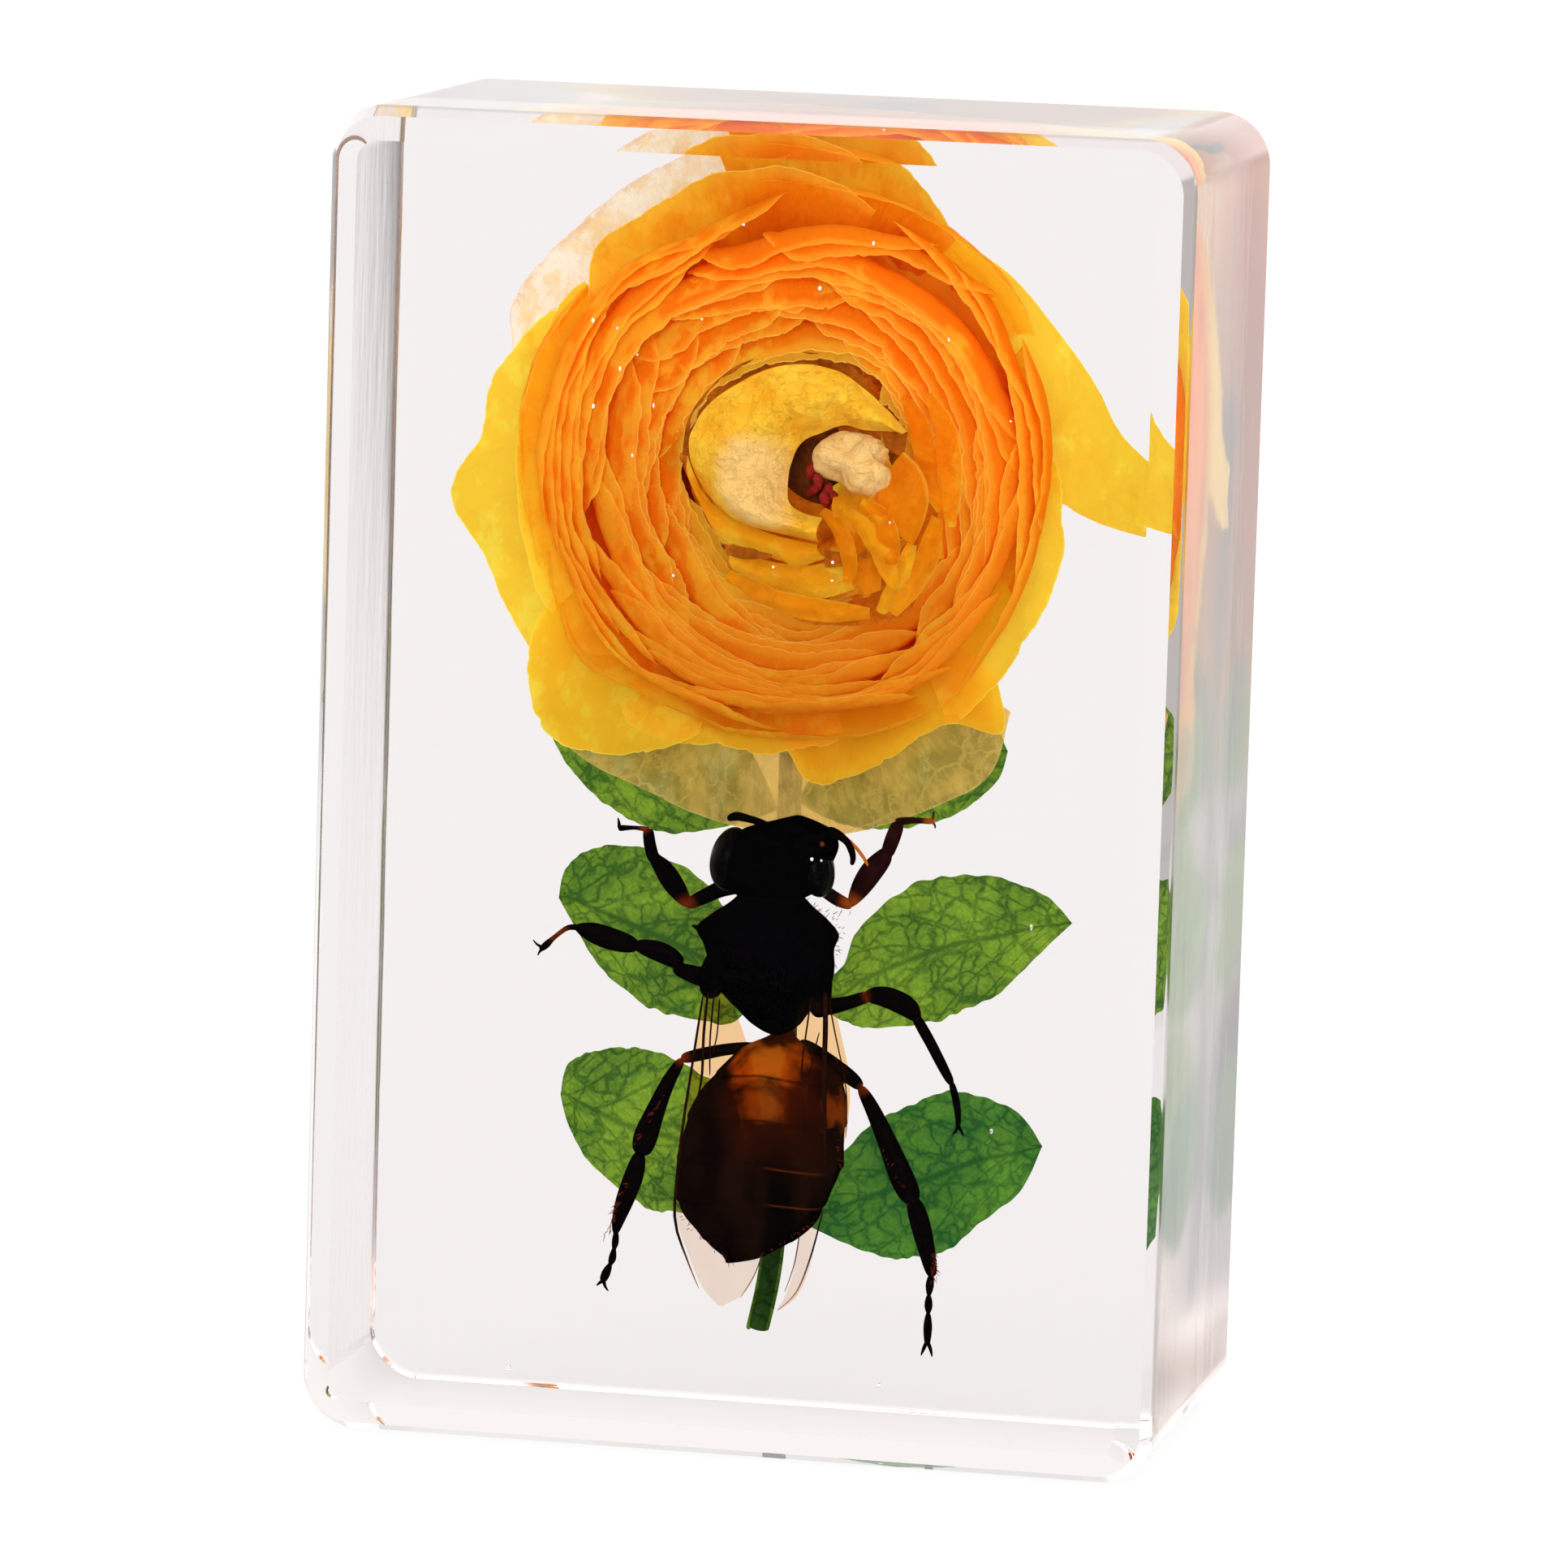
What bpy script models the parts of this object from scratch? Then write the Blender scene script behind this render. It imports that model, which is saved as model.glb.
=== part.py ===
"""Clear cast resin block that holds a dried bee, a ranunculus flower and a sprig of leaves.

The block is one casting. It stands on its narrow end with the front face towards -Y, and its
origin is the centre of the bottom end. What is sealed inside has no solid of its own here,
because the casting fills all the space around it.
"""

import bmesh
import bpy
from mathutils import Vector

# Driving dimensions, in metres
BLOCK_WIDTH = 0.0287
BLOCK_DEPTH = 0.0156
BLOCK_HEIGHT = 0.0440
CORNER_RADIUS = 0.0018  # of the four long edges that run from the front face to the back face
FRONT_BEVEL = 0.0011  # ground all the way round the front face
BACK_BEVEL = 0.00025  # a narrow round, all the way round the back face

# How finely the round shapes are cut
CORNER_STEPS = 12
FRONT_FACETS = 2  # the wheel leaves two narrow flats on each front edge
BACK_FACETS = 4  # the back edges are rounded, which takes more of them

# Finish
RESIN_COLOUR = (0.955, 0.925, 0.915, 1.0)
RESIN_ROUGHNESS = 0.03
RESIN_IOR = 1.5

ROUND_PROFILE = 0.5


def clear_scene():
    for obj in list(bpy.data.objects):
        bpy.data.objects.remove(obj, do_unlink=True)


def resin_material():
    """Water-clear resin with a faint warm tint and a polished surface."""
    material = bpy.data.materials.new("clear_resin")
    material.use_nodes = True
    shader = material.node_tree.nodes["Principled BSDF"]
    shader.inputs["Base Color"].default_value = RESIN_COLOUR
    shader.inputs["Roughness"].default_value = RESIN_ROUGHNESS
    shader.inputs["Metallic"].default_value = 0.0
    shader.inputs["IOR"].default_value = RESIN_IOR
    shader.inputs["Transmission Weight"].default_value = 1.0
    return material


def bevel(mesh, edges, width, segments):
    bmesh.ops.bevel(
        mesh,
        geom=edges,
        offset=width,
        segments=segments,
        profile=ROUND_PROFILE,
        affect="EDGES",
        clamp_overlap=True,
        material=-1,
    )


def runs_front_to_back(edge):
    """True for an edge parallel to Y, from the front face to the back face."""
    along = (edge.verts[1].co - edge.verts[0].co).normalized()
    return abs(along.y) > 0.99


def rims_a_face_towards(edge, side):
    """True for an edge of the big face that looks towards -Y (side -1) or +Y (side 1)."""
    return any(face.normal.y * side > 0.99 for face in edge.link_faces)


def build_block():
    """A box with four rounded front-to-back edges, whose front and back rims are then bevelled."""
    shape = bmesh.new()
    bmesh.ops.create_cube(shape, size=1.0)
    bmesh.ops.scale(shape, vec=Vector((BLOCK_WIDTH, BLOCK_DEPTH, BLOCK_HEIGHT)), verts=shape.verts)
    bmesh.ops.translate(shape, vec=Vector((0.0, 0.0, BLOCK_HEIGHT / 2)), verts=shape.verts)

    corners = [edge for edge in shape.edges if runs_front_to_back(edge)]
    bevel(shape, corners, CORNER_RADIUS, CORNER_STEPS)

    for side, width, facets in ((-1, FRONT_BEVEL, FRONT_FACETS), (1, BACK_BEVEL, BACK_FACETS)):
        shape.normal_update()
        rims = [edge for edge in shape.edges if rims_a_face_towards(edge, side)]
        bevel(shape, rims, width, facets)

    mesh = bpy.data.meshes.new("resin_block")
    shape.to_mesh(mesh)
    shape.free()
    mesh.shade_smooth()
    mesh.set_sharp_from_angle(angle=0.3)
    mesh.materials.append(resin_material())
    block = bpy.data.objects.new("resin_block", mesh)
    bpy.context.scene.collection.objects.link(block)
    return block


clear_scene()
build_block()
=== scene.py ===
# %% [markdown]
# A dried bee, a ranunculus flower and a leaf sprig sealed in a clear resin block.
#
# The real object is one casting of clear resin, 44 mm tall, with real dried
# things held inside it. Much of the light comes through from behind, so petals, leaves and the
# thin parts of the bee glow, and the thick parts are nearly black. This lesson rebuilds each of them
# as its own mesh inside the block. The block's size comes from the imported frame.

# %% The frame
import math
import random

import bmesh
import bpy
from mathutils import Matrix, Vector, noise


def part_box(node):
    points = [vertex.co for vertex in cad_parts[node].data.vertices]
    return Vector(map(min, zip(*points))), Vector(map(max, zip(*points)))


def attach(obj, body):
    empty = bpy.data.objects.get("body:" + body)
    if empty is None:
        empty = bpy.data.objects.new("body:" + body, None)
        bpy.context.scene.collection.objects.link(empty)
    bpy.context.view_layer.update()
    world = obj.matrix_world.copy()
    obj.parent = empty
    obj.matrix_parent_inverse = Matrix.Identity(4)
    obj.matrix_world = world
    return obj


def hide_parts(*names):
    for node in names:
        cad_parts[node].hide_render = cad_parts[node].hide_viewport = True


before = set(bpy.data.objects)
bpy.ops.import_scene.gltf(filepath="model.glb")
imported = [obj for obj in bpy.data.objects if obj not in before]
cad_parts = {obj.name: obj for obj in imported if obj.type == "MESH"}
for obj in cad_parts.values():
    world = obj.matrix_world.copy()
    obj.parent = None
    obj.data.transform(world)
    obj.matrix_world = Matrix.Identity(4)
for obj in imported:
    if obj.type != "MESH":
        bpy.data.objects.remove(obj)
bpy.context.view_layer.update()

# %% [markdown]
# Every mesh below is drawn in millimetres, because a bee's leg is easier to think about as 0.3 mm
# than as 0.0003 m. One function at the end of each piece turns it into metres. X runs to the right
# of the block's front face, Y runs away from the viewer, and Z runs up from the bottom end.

MM = 0.001
BLOCK = "resin_block"
low, high = (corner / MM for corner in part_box(BLOCK))
WIDTH, DEPTH, HEIGHT = high - low
FRONT = low.y
print(f"the block is {WIDTH:.1f} x {DEPTH:.1f} x {HEIGHT:.1f} mm")

# %% [markdown]
# The camera stands a little to the right of the block and a little above it, and a long lens keeps
# the block's edges nearly parallel. Its place was solved from the block's corners.

# %% The camera
CAMERA_AZIMUTH, CAMERA_ELEVATION, CAMERA_ROLL = (math.radians(a) for a in (11.904, 7.899, 1.732))
CAMERA_DISTANCE = 331.47
CAMERA_TARGET = Vector((-0.052, 0.0, 21.464))
SENSOR, LENS = 36.0, 228.23

back = Vector((
    math.sin(CAMERA_AZIMUTH) * math.cos(CAMERA_ELEVATION),
    -math.cos(CAMERA_AZIMUTH) * math.cos(CAMERA_ELEVATION),
    math.sin(CAMERA_ELEVATION),
))
lens = bpy.data.cameras.new("camera")
lens.sensor_width, lens.lens = SENSOR, LENS
lens.clip_start, lens.clip_end = 0.01, 20.0
camera = bpy.data.objects.new("camera", lens)
bpy.context.scene.collection.objects.link(camera)
camera.rotation_mode = "QUATERNION"
camera.rotation_quaternion = (
    back.to_track_quat("Z", "Y") @ Matrix.Rotation(CAMERA_ROLL, 3, "Z").to_quaternion()
)
camera.location = (CAMERA_TARGET + back * CAMERA_DISTANCE) * MM
bpy.context.scene.camera = camera
print("camera at", [round(c, 4) for c in camera.location])

# %% [markdown]
# Shader patterns are sums and products, and sums read best as Python. A Wire stands for one output
# of a node, and the signs + - * and / on it add the Math node that does the same. Every other node
# comes from Graph.node, and the ones that are used most have a short function of their own.

# %% Shader sums in Python
class Wire:
    """One output of a shader node."""

    def __init__(self, graph, socket):
        self.graph, self.socket = graph, socket

    def sum(self, operation, *values):
        return self.graph.sum(operation, self, *values)

    def __add__(self, other):
        return self.sum("ADD", other)

    def __sub__(self, other):
        return self.sum("SUBTRACT", other)

    def __mul__(self, other):
        return self.sum("MULTIPLY", other)

    def __truediv__(self, other):
        return self.sum("DIVIDE", other)

    def __abs__(self):
        return self.sum("ABSOLUTE")

    def __rsub__(self, other):
        return self.graph.sum("SUBTRACT", other, self)

    __radd__, __rmul__ = __add__, __mul__

    def step(self, start, end):
        """0 before start, 1 past end, and smooth between. With start over end it falls."""
        return self.graph.node("MapRange", {"interpolation_type": "SMOOTHSTEP", "clamp": True}, {
            "Value": self, "From Min": start, "From Max": end})


class Graph:
    """The nodes of one material, or of the room's light."""

    def __init__(self, tree):
        self.tree = tree
        tree.nodes.clear()

    def node(self, kind, settings=None, values=None, output=0):
        node = self.tree.nodes.new("ShaderNode" + kind)
        for name, setting in (settings or {}).items():
            if name == "stops":
                self.set_stops(node.color_ramp.elements, setting)
            else:
                setattr(node, name, setting)
        for name, value in (values or {}).items():
            if isinstance(value, Wire):
                self.tree.links.new(value.socket, node.inputs[name])
            else:
                node.inputs[name].default_value = value
        return Wire(self, node.outputs[output]) if node.outputs else None

    @staticmethod
    def set_stops(elements, stops):
        while len(elements) < len(stops):
            elements.new(1.0)
        for element, (place, colour) in zip(elements, stops):
            element.position, element.color = place, (*colour, 1.0)

    def sum(self, operation, *values):
        return self.node("Math", {"operation": operation}, dict(enumerate(values)))

    def ramp(self, factor, *stops):
        return self.node("ValToRGB", {"stops": stops}, {"Fac": factor})

    def blend(self, factor, first, second):
        """A colour mix. The Mix node's colour sockets are its 7th and 8th inputs."""
        colours = [c if isinstance(c, Wire) else (*c, 1.0) for c in (first, second)]
        return self.node("Mix", {"data_type": "RGBA"}, {
            0: factor, 6: colours[0], 7: colours[1]}, output=2)

    def place(self):
        """The object's own coordinates, in millimetres."""
        spot = self.node("TexCoord", output=3)
        return self.node("VectorMath", {"operation": "SCALE"}, {0: spot, "Scale": 1 / MM})

    def axis(self, spot, name):
        return self.node("SeparateXYZ", {}, {0: spot}, output="XYZ".index(name))

    def stretch(self, spot, scale, shift=(0, 0, 0)):
        return self.node("Mapping", {}, {"Vector": spot, "Scale": scale, "Location": shift})

    def noise(self, spot, scale, detail=2.0, roughness=0.5):
        return self.node("TexNoise", {}, {
            "Vector": spot, "Scale": scale, "Detail": detail, "Roughness": roughness})

    def bump(self, height, strength, distance):
        """Height is 0 to 1, and distance is how many millimetres that stands for."""
        return self.node("Bump", {}, {"Height": height, "Strength": strength, "Distance": distance * MM})

    def add(self, first, second):
        return self.node("VectorMath", {"operation": "ADD"}, {0: first, 1: second})

    def distance(self, spot, point):
        return self.node("VectorMath", {"operation": "DISTANCE"}, {0: spot, 1: point}, output=1)

    def edges(self, spot, scale):
        """The distance to the nearest line of a net whose cells are about 1 / scale wide."""
        return self.node("TexVoronoi", {"feature": "DISTANCE_TO_EDGE"}, {"Vector": spot, "Scale": scale})

    def surface(self, colour, roughness, **more):
        """A Principled shader. The names in more are its sockets, with _ for a space."""
        names = {name.replace("_", " "): value for name, value in more.items()}
        return self.node("BsdfPrincipled", {}, {"Base Color": colour, "Roughness": roughness, **names})

    def shine_through(self, colour, **more):
        """The light that a thin sheet lets through and scatters."""
        return self.node("BsdfTranslucent", {}, {"Color": (*colour, 1), **more})

    def film(self, colour):
        """A film too thin to bend light, which only tints what is behind it."""
        return self.node("BsdfTransparent", {}, {"Color": (*colour, 1)})

    def mix(self, factor, first, second):
        return self.node("MixShader", {}, {0: factor, 1: first, 2: second})

    def output(self, surface, volume=None):
        values = {"Surface": surface} if volume is None else {"Surface": surface, "Volume": volume}
        self.node("OutputMaterial", {}, values)


def new_finish(name):
    material = bpy.data.materials.new(name)
    material.use_nodes = True
    return material, Graph(material.node_tree)


print("shader helper ready")

# %% [markdown]
# The block stands on a big pale sheet under soft white light. Most of the light comes from above and
# from behind the camera, as from large lamps with a cloth over them. The sheet itself is lit from
# below, brightest in a lane that runs from the camera past the block, and pale grey at the sides.
# Clear resin shows what stands beside it in its edges, so the grey sides are what draws the block's
# outline.

# %% Floor and light
FLOOR_SIZE = 4000.0
FLOOR_GAP = 0.02
FLOOR_DARK, FLOOR_PALE = 0.06, 0.07
LANE_GLOW, LEFT_GLOW, RIGHT_GLOW = 0.91, 0.45, 0.20
LANE_HALF_WIDTH = 50.0
LANE_FADE = 1.35  # how many half widths from its middle the lane has faded away
LANE_WIDENS, RIGHT_WIDENS = 0.075, 0.42  # with the distance, and what its right side adds to that
NEAR_GLOW = 6.0  # of a bright patch of the sheet, between the block and the camera
NEAR_START, NEAR_FULL = 45.0, 63.0  # how far from the block it starts
NEAR_LEFT, NEAR_RIGHT = (-0.2, -0.05), (1.0, 0.8)  # the angles, in radians, at which it fades in
NEAR_REACH = (180.0, 90.0)  # how far to the left it ends
TOP_LIGHT, FRONT_LIGHT, BACK_LIGHT, LEFT_LIGHT, RIGHT_LIGHT = 3.0, 5.2, 1.13, 2.6, 0.6
# Where each lamp fades in, as the part of a direction that lies along an axis
BACK_FADE, FRONT_FADE, LEFT_FADE = (0.55, 0.95), (-0.3, -0.9), (-0.3, -0.8)
TOP_FADE, TOP_BACK_FADE = (0.22, 0.65), (0.75, 0.3)


def grey(value):
    return (value,) * 3


def make_floor():
    shape = bmesh.new()
    bmesh.ops.create_grid(shape, x_segments=2, y_segments=2, size=FLOOR_SIZE / 2)
    bmesh.ops.translate(shape, vec=(0, 0, low.z - FLOOR_GAP), verts=shape.verts)
    bmesh.ops.scale(shape, vec=(MM, MM, MM), verts=shape.verts)
    mesh = bpy.data.meshes.new("floor")
    shape.to_mesh(mesh)
    shape.free()
    paper, graph = new_finish("white_paper")
    spot = graph.place()
    x, y = graph.axis(spot, "X"), graph.axis(spot, "Y")
    aside = x * math.cos(CAMERA_AZIMUTH) + y * math.sin(CAMERA_AZIMUTH)
    beyond = y * math.cos(CAMERA_AZIMUTH) - x * math.sin(CAMERA_AZIMUTH)
    widens = aside.step(0, 10) * RIGHT_WIDENS + LANE_WIDENS
    half_width = beyond.sum("MAXIMUM", 0.0) * widens + LANE_HALF_WIDTH
    side_glow = graph.blend(aside.step(-10, 10), grey(LEFT_GLOW), grey(RIGHT_GLOW))
    glow = graph.blend((abs(aside) / half_width).step(1.0, LANE_FADE), grey(LANE_GLOW), side_glow)
    turn = (aside / (0 - beyond)).sum("ARCTANGENT")
    nearer = beyond.step(-NEAR_START, -NEAR_FULL) * turn.step(*NEAR_LEFT) * turn.step(*NEAR_RIGHT)
    glow = graph.blend(nearer * (aside * -1).step(*NEAR_REACH), glow, grey(NEAR_GLOW))
    tone = graph.blend(graph.noise(spot, 0.4), grey(FLOOR_DARK), grey(FLOOR_PALE))
    graph.output(graph.surface(
        tone, 0.9, Specular_IOR_Level=0.0, Emission_Color=glow, Emission_Strength=1.0))
    mesh.materials.append(paper)
    floor = bpy.data.objects.new("floor", mesh)
    bpy.context.scene.collection.objects.link(floor)


def light_the_room():
    world = bpy.data.worlds.new("white_room")
    world.use_nodes = True
    bpy.context.scene.world = world
    graph = Graph(world.node_tree)
    towards = graph.node("TexCoord", output=0)
    x, y, z = (graph.axis(towards, name) for name in "XYZ")
    behind, ahead = y.step(*BACK_FADE), y.step(*FRONT_FADE)
    above = z.step(*TOP_FADE) * y.step(*TOP_BACK_FADE)
    aside = x.step(*LEFT_FADE) * (LEFT_LIGHT - RIGHT_LIGHT) + RIGHT_LIGHT
    around = behind * BACK_LIGHT + ahead * FRONT_LIGHT + (1 - behind) * (1 - ahead) * aside
    strength = (1 - above) * around + above * TOP_LIGHT
    light = graph.node("Background", {}, {"Color": (1.0, 0.995, 0.985, 1.0), "Strength": strength})
    graph.node("OutputWorld", {}, {"Surface": light})


make_floor()
light_the_room()
view = bpy.context.scene.view_settings
view.view_transform = "Standard"
bounces = bpy.context.scene.cycles
bounces.max_bounces = 24
bounces.diffuse_bounces = 10
bounces.glossy_bounces = 16
bounces.transmission_bounces = 24
bounces.transparent_max_bounces = 24
print("floor and light ready")

# %% [markdown]
# Finished pieces all go through one function. It turns millimetres into metres, shades the mesh
# smooth, and makes the piece ride on the block, which is the object's only body.

# %% Placing a piece
def place(name, shape, finish, slot=None, outward=True):
    if outward:
        bmesh.ops.recalc_face_normals(shape, faces=shape.faces)
    bmesh.ops.scale(shape, vec=(MM, MM, MM), verts=shape.verts)
    mesh = bpy.data.meshes.new(name)
    shape.to_mesh(mesh)
    shape.free()
    mesh.shade_smooth()
    mesh.materials.append(finish)
    piece = bpy.data.objects.new(name, mesh)
    bpy.context.scene.collection.objects.link(piece)
    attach(piece, "root")
    print(f"{name}: {len(mesh.polygons)} faces")
    return piece


# %% [markdown]
# The resin. The frame's block is one casting with four rounded long edges. Two narrow flats are
# ground all round its front face, and its back face has a narrow round. It is made again here with
# finer corners, because refraction shows every flat, and the CAD block then isn't shown. Clear resin
# bends light like window glass. A very weak absorption gives it the faint warm tint of thick resin.
# The narrow sides are less polished than the big faces, so they blur and dim what is behind them,
# and towards the bottom they are darker still with painted shade.

# %% Resin finish
RESIN_IOR = 1.5
SEALED_IOR = 1.08  # of a wetted surface, beside the resin around it
# Colour, how strong the mirroring is, and roughness
RESIN_COLOUR, RESIN_MIRROR, RESIN_ROUGHNESS = (0.86, 0.855, 0.855, 1), 0.03, 0.0
TOP_COLOUR, TOP_MIRROR, TOP_ROUGHNESS = (0.58, 0.565, 0.56, 1), 0.3, 0.1
SIDE_COLOUR, SIDE_MIRROR, SIDE_ROUGHNESS = (0.67, 0.62, 0.575), 0.8, 0.2
SIDE_SHADE_COLOUR, SIDE_SHADE_FROM, SIDE_SHADE_FULL = (0.36, 0.32, 0.31), 14, 4
RESIN_TINT, RESIN_TINT_DENSITY = (0.77, 0.30, 0.22), 5.0
BEVEL_FADE = (0.6, 1.0)  # from the front face, over the two narrow flats
FACE_START, FACE_FULL = 0.12, 0.04  # how near to the plane of a face its own finish starts


def resin_finish():
    material, graph = new_finish("clear_resin")
    spot = graph.place()
    behind_bevel = graph.axis(spot, "Y").step(*(FRONT + depth for depth in BEVEL_FADE))

    def on_face(distance, plane):
        return distance.step(plane - FACE_START, plane - FACE_FULL) * behind_bevel
    side = on_face(abs(graph.axis(spot, "X")), WIDTH / 2)
    top = on_face(graph.axis(spot, "Z"), HEIGHT)
    streaks = graph.noise(graph.stretch(spot, (1, 1, 0.3)), 0.6, 3.0)
    polish = graph.noise(spot, 0.35, 1.0) * 0.15 + streaks * side * 2.0
    normal = graph.bump(polish, 1.0, 0.02)

    def resin(colour, mirror, rough):
        return graph.surface(colour, rough, IOR=RESIN_IOR, Transmission_Weight=1.0,
                             Specular_Tint=(*grey(mirror), 1), Normal=normal)
    # The side faces get darker towards the bottom with painted shade.
    lower = graph.axis(spot, "Z").step(SIDE_SHADE_FROM, SIDE_SHADE_FULL)
    side_colour = graph.blend(lower, SIDE_COLOUR, SIDE_SHADE_COLOUR)
    clear = graph.mix(top, resin(RESIN_COLOUR, RESIN_MIRROR, RESIN_ROUGHNESS),
                      resin(TOP_COLOUR, TOP_MIRROR, TOP_ROUGHNESS))
    shader = graph.mix(side, clear, resin(side_colour, SIDE_MIRROR, SIDE_ROUGHNESS))
    tint = graph.node("VolumeAbsorption", {}, {
        "Color": (*RESIN_TINT, 1), "Density": RESIN_TINT_DENSITY})
    graph.output(shader, tint)
    return material


# %% Resin block
CORNER_RADIUS = 1.8
FRONT_BEVEL, FRONT_FACETS = 1.1, 2
BACK_BEVEL, BACK_FACETS = 0.25, 4
CORNER_STEPS = 40
ALONG = 0.99  # an edge or a normal this near to an axis lies along it
SHARP_ANGLE = math.radians(15)


def bevel(shape, edges, width, segments):
    bmesh.ops.bevel(shape, geom=edges, offset=width, segments=segments, profile=0.5,
                    affect="EDGES", clamp_overlap=True, material=-1)


def make_block():
    shape = bmesh.new()
    bmesh.ops.create_cube(shape, size=1.0)
    bmesh.ops.scale(shape, vec=(WIDTH, DEPTH, HEIGHT), verts=shape.verts)
    bmesh.ops.translate(shape, vec=(low + high) / 2, verts=shape.verts)
    corners = [e for e in shape.edges if abs((e.verts[1].co - e.verts[0].co).normalized().y) > ALONG]
    bevel(shape, corners, CORNER_RADIUS, CORNER_STEPS)
    for side, width, facets in ((-1, FRONT_BEVEL, FRONT_FACETS), (1, BACK_BEVEL, BACK_FACETS)):
        shape.normal_update()
        rims = [e for e in shape.edges if any(f.normal.y * side > ALONG for f in e.link_faces)]
        bevel(shape, rims, width, facets)
    block = place("clear_resin_block", shape, resin_finish(), "clear_resin")
    block.data.set_sharp_from_angle(angle=SHARP_ANGLE)
    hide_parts(BLOCK)


make_block()

# %% [markdown]
# Petals, leaves and wings are thin sheets, and legs and bodies are tubes of changing width. Both are
# steered by smooth curves through a few points, so one curve function serves them all. Perlin noise
# adds the small waves of dried things. It always gives the same value at the same place.

# %% Smooth curves and waves
def along(points, share):
    """The point at a share, 0 to 1, of the smooth curve through points."""
    reach = min(max(share, 0.0), 1.0) * (len(points) - 1)
    first = min(int(reach), len(points) - 2)
    f = reach - first
    a, b, c, d = (points[min(max(first + k, 0), len(points) - 1)] for k in (-1, 0, 1, 2))
    return [
        q + 0.5 * f * (r - p + f * (2 * p - 5 * q + 4 * r - s + f * (3 * (q - r) + s - p)))
        for p, q, r, s in zip(a, b, c, d)
    ]


def wave(seed, *place_in_it):
    """A smooth random number between about -1 and 1."""
    x, y = (*place_in_it, 0.0)[:2]
    return 2.0 * noise.noise(Vector((x, y, seed * 7.31)))


# %% Sheets and tubes
def sheet(surface, across, length):
    """A grid whose corner-to-corner shares, s across and t along, are moved to surface(s, t)."""
    shape = bmesh.new()
    shape.loops.layers.uv.new("UVMap")
    bmesh.ops.create_grid(shape, x_segments=across, y_segments=length, size=0.5, calc_uvs=True)
    for v in shape.verts:
        v.co = surface(v.co.x + 0.5, v.co.y + 0.5)
    shape.normal_update()
    if sum(f.normal.y * f.calc_area() for f in shape.faces) > 0:
        bmesh.ops.reverse_faces(shape, faces=shape.faces)
    return shape


def ring_matrix(centre, ahead, half_width, half_thickness):
    """Stands a unit circle across a tube that runs ahead. Its width lies across the view."""
    side = ahead.cross(Vector((0, 1, 0)))
    side = side.normalized() if side.length > 1e-6 else Vector((1, 0, 0))
    up = side.cross(ahead).normalized()
    turned = Matrix((side * half_width, up * half_thickness, ahead)).transposed().to_4x4()
    return Matrix.Translation(centre) @ turned


LOOK_AHEAD = 0.01  # the share of a tube over which its direction is read
END_SIZE = 0.03  # of a tube's ends, as a share of its width


def tube(shape, stations, sides=16, steps=24, blunt=12.0, level=False):
    """Adds a closed tube through stations of (x, y, z, half width, half thickness).

    Its rings stand across the tube, or lie level in a body, whose widths are read at each height.
    """
    def at(share):
        x, y, z, wide, thick = along(stations, share)
        ends = max(math.sqrt(max(1 - abs(1 - 2 * share) ** blunt, 0.0)), END_SIZE)
        return Vector((x, y, z)), wide * ends, thick * ends
    shares = [(1 - math.cos(math.pi * k / steps)) / 2 for k in range(steps + 1)]
    rings = []
    for share in shares:
        ahead = Vector((0, 0, -1))
        if not level:
            ahead = at(min(share + LOOK_AHEAD, 1.0))[0] - at(max(share - LOOK_AHEAD, 0.0))[0]
        rings.append(ring_matrix(at(share)[0], ahead.normalized(), *at(share)[1:]))
    made = bmesh.ops.create_circle(shape, cap_ends=True, segments=sides, radius=1.0, matrix=rings[0])
    edges = list(dict.fromkeys(e for v in made["verts"] for e in v.link_edges))
    for before, after in zip(rings, rings[1:]):
        grown = bmesh.ops.extrude_edge_only(shape, edges=edges)["geom"]
        verts = [g for g in grown if isinstance(g, bmesh.types.BMVert)]
        edges = [g for g in grown if isinstance(g, bmesh.types.BMEdge)]
        bmesh.ops.transform(shape, matrix=after @ before.inverted(), verts=verts)
    bmesh.ops.contextual_create(shape, geom=edges)


print("curve, sheet and tube helpers ready")

# %% [markdown]
# A dried petal passes light and also scatters it, so its finish mixes a plain rough surface with a
# Translucent one. The orange ones get deeper towards the base, partly their own colour and partly
# painted shade under the next rim, and paler at the rim, where a thin pale line is a painted lit
# edge. Fine streaks run along them. The pattern follows the petal, so it reads the petal's own UV
# map, where V runs from the base to the rim.

# %% Petal finish
FLOWER_BASE = Vector((0.2, 3.5, 32.35))
LIT_RIM_WIDTH = 0.009  # the width of the pale line along a rim, as a share of the petal
OUTWARD_FROM, OUTWARD_FULL = 20, 90  # square distances from the middle, where petals turn yellow
# The petals turn yellower towards the bottom with painted light, as if lit from below.
LOWER_FROM, LOWER_FULL, LOWER_PAINTED_LIGHT = 3.0, -7.0, 0.3  # heights about the middle, and how much it adds


def paler(colour, times, more):
    return [min(1, c * times + more) for c in colour]


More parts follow.
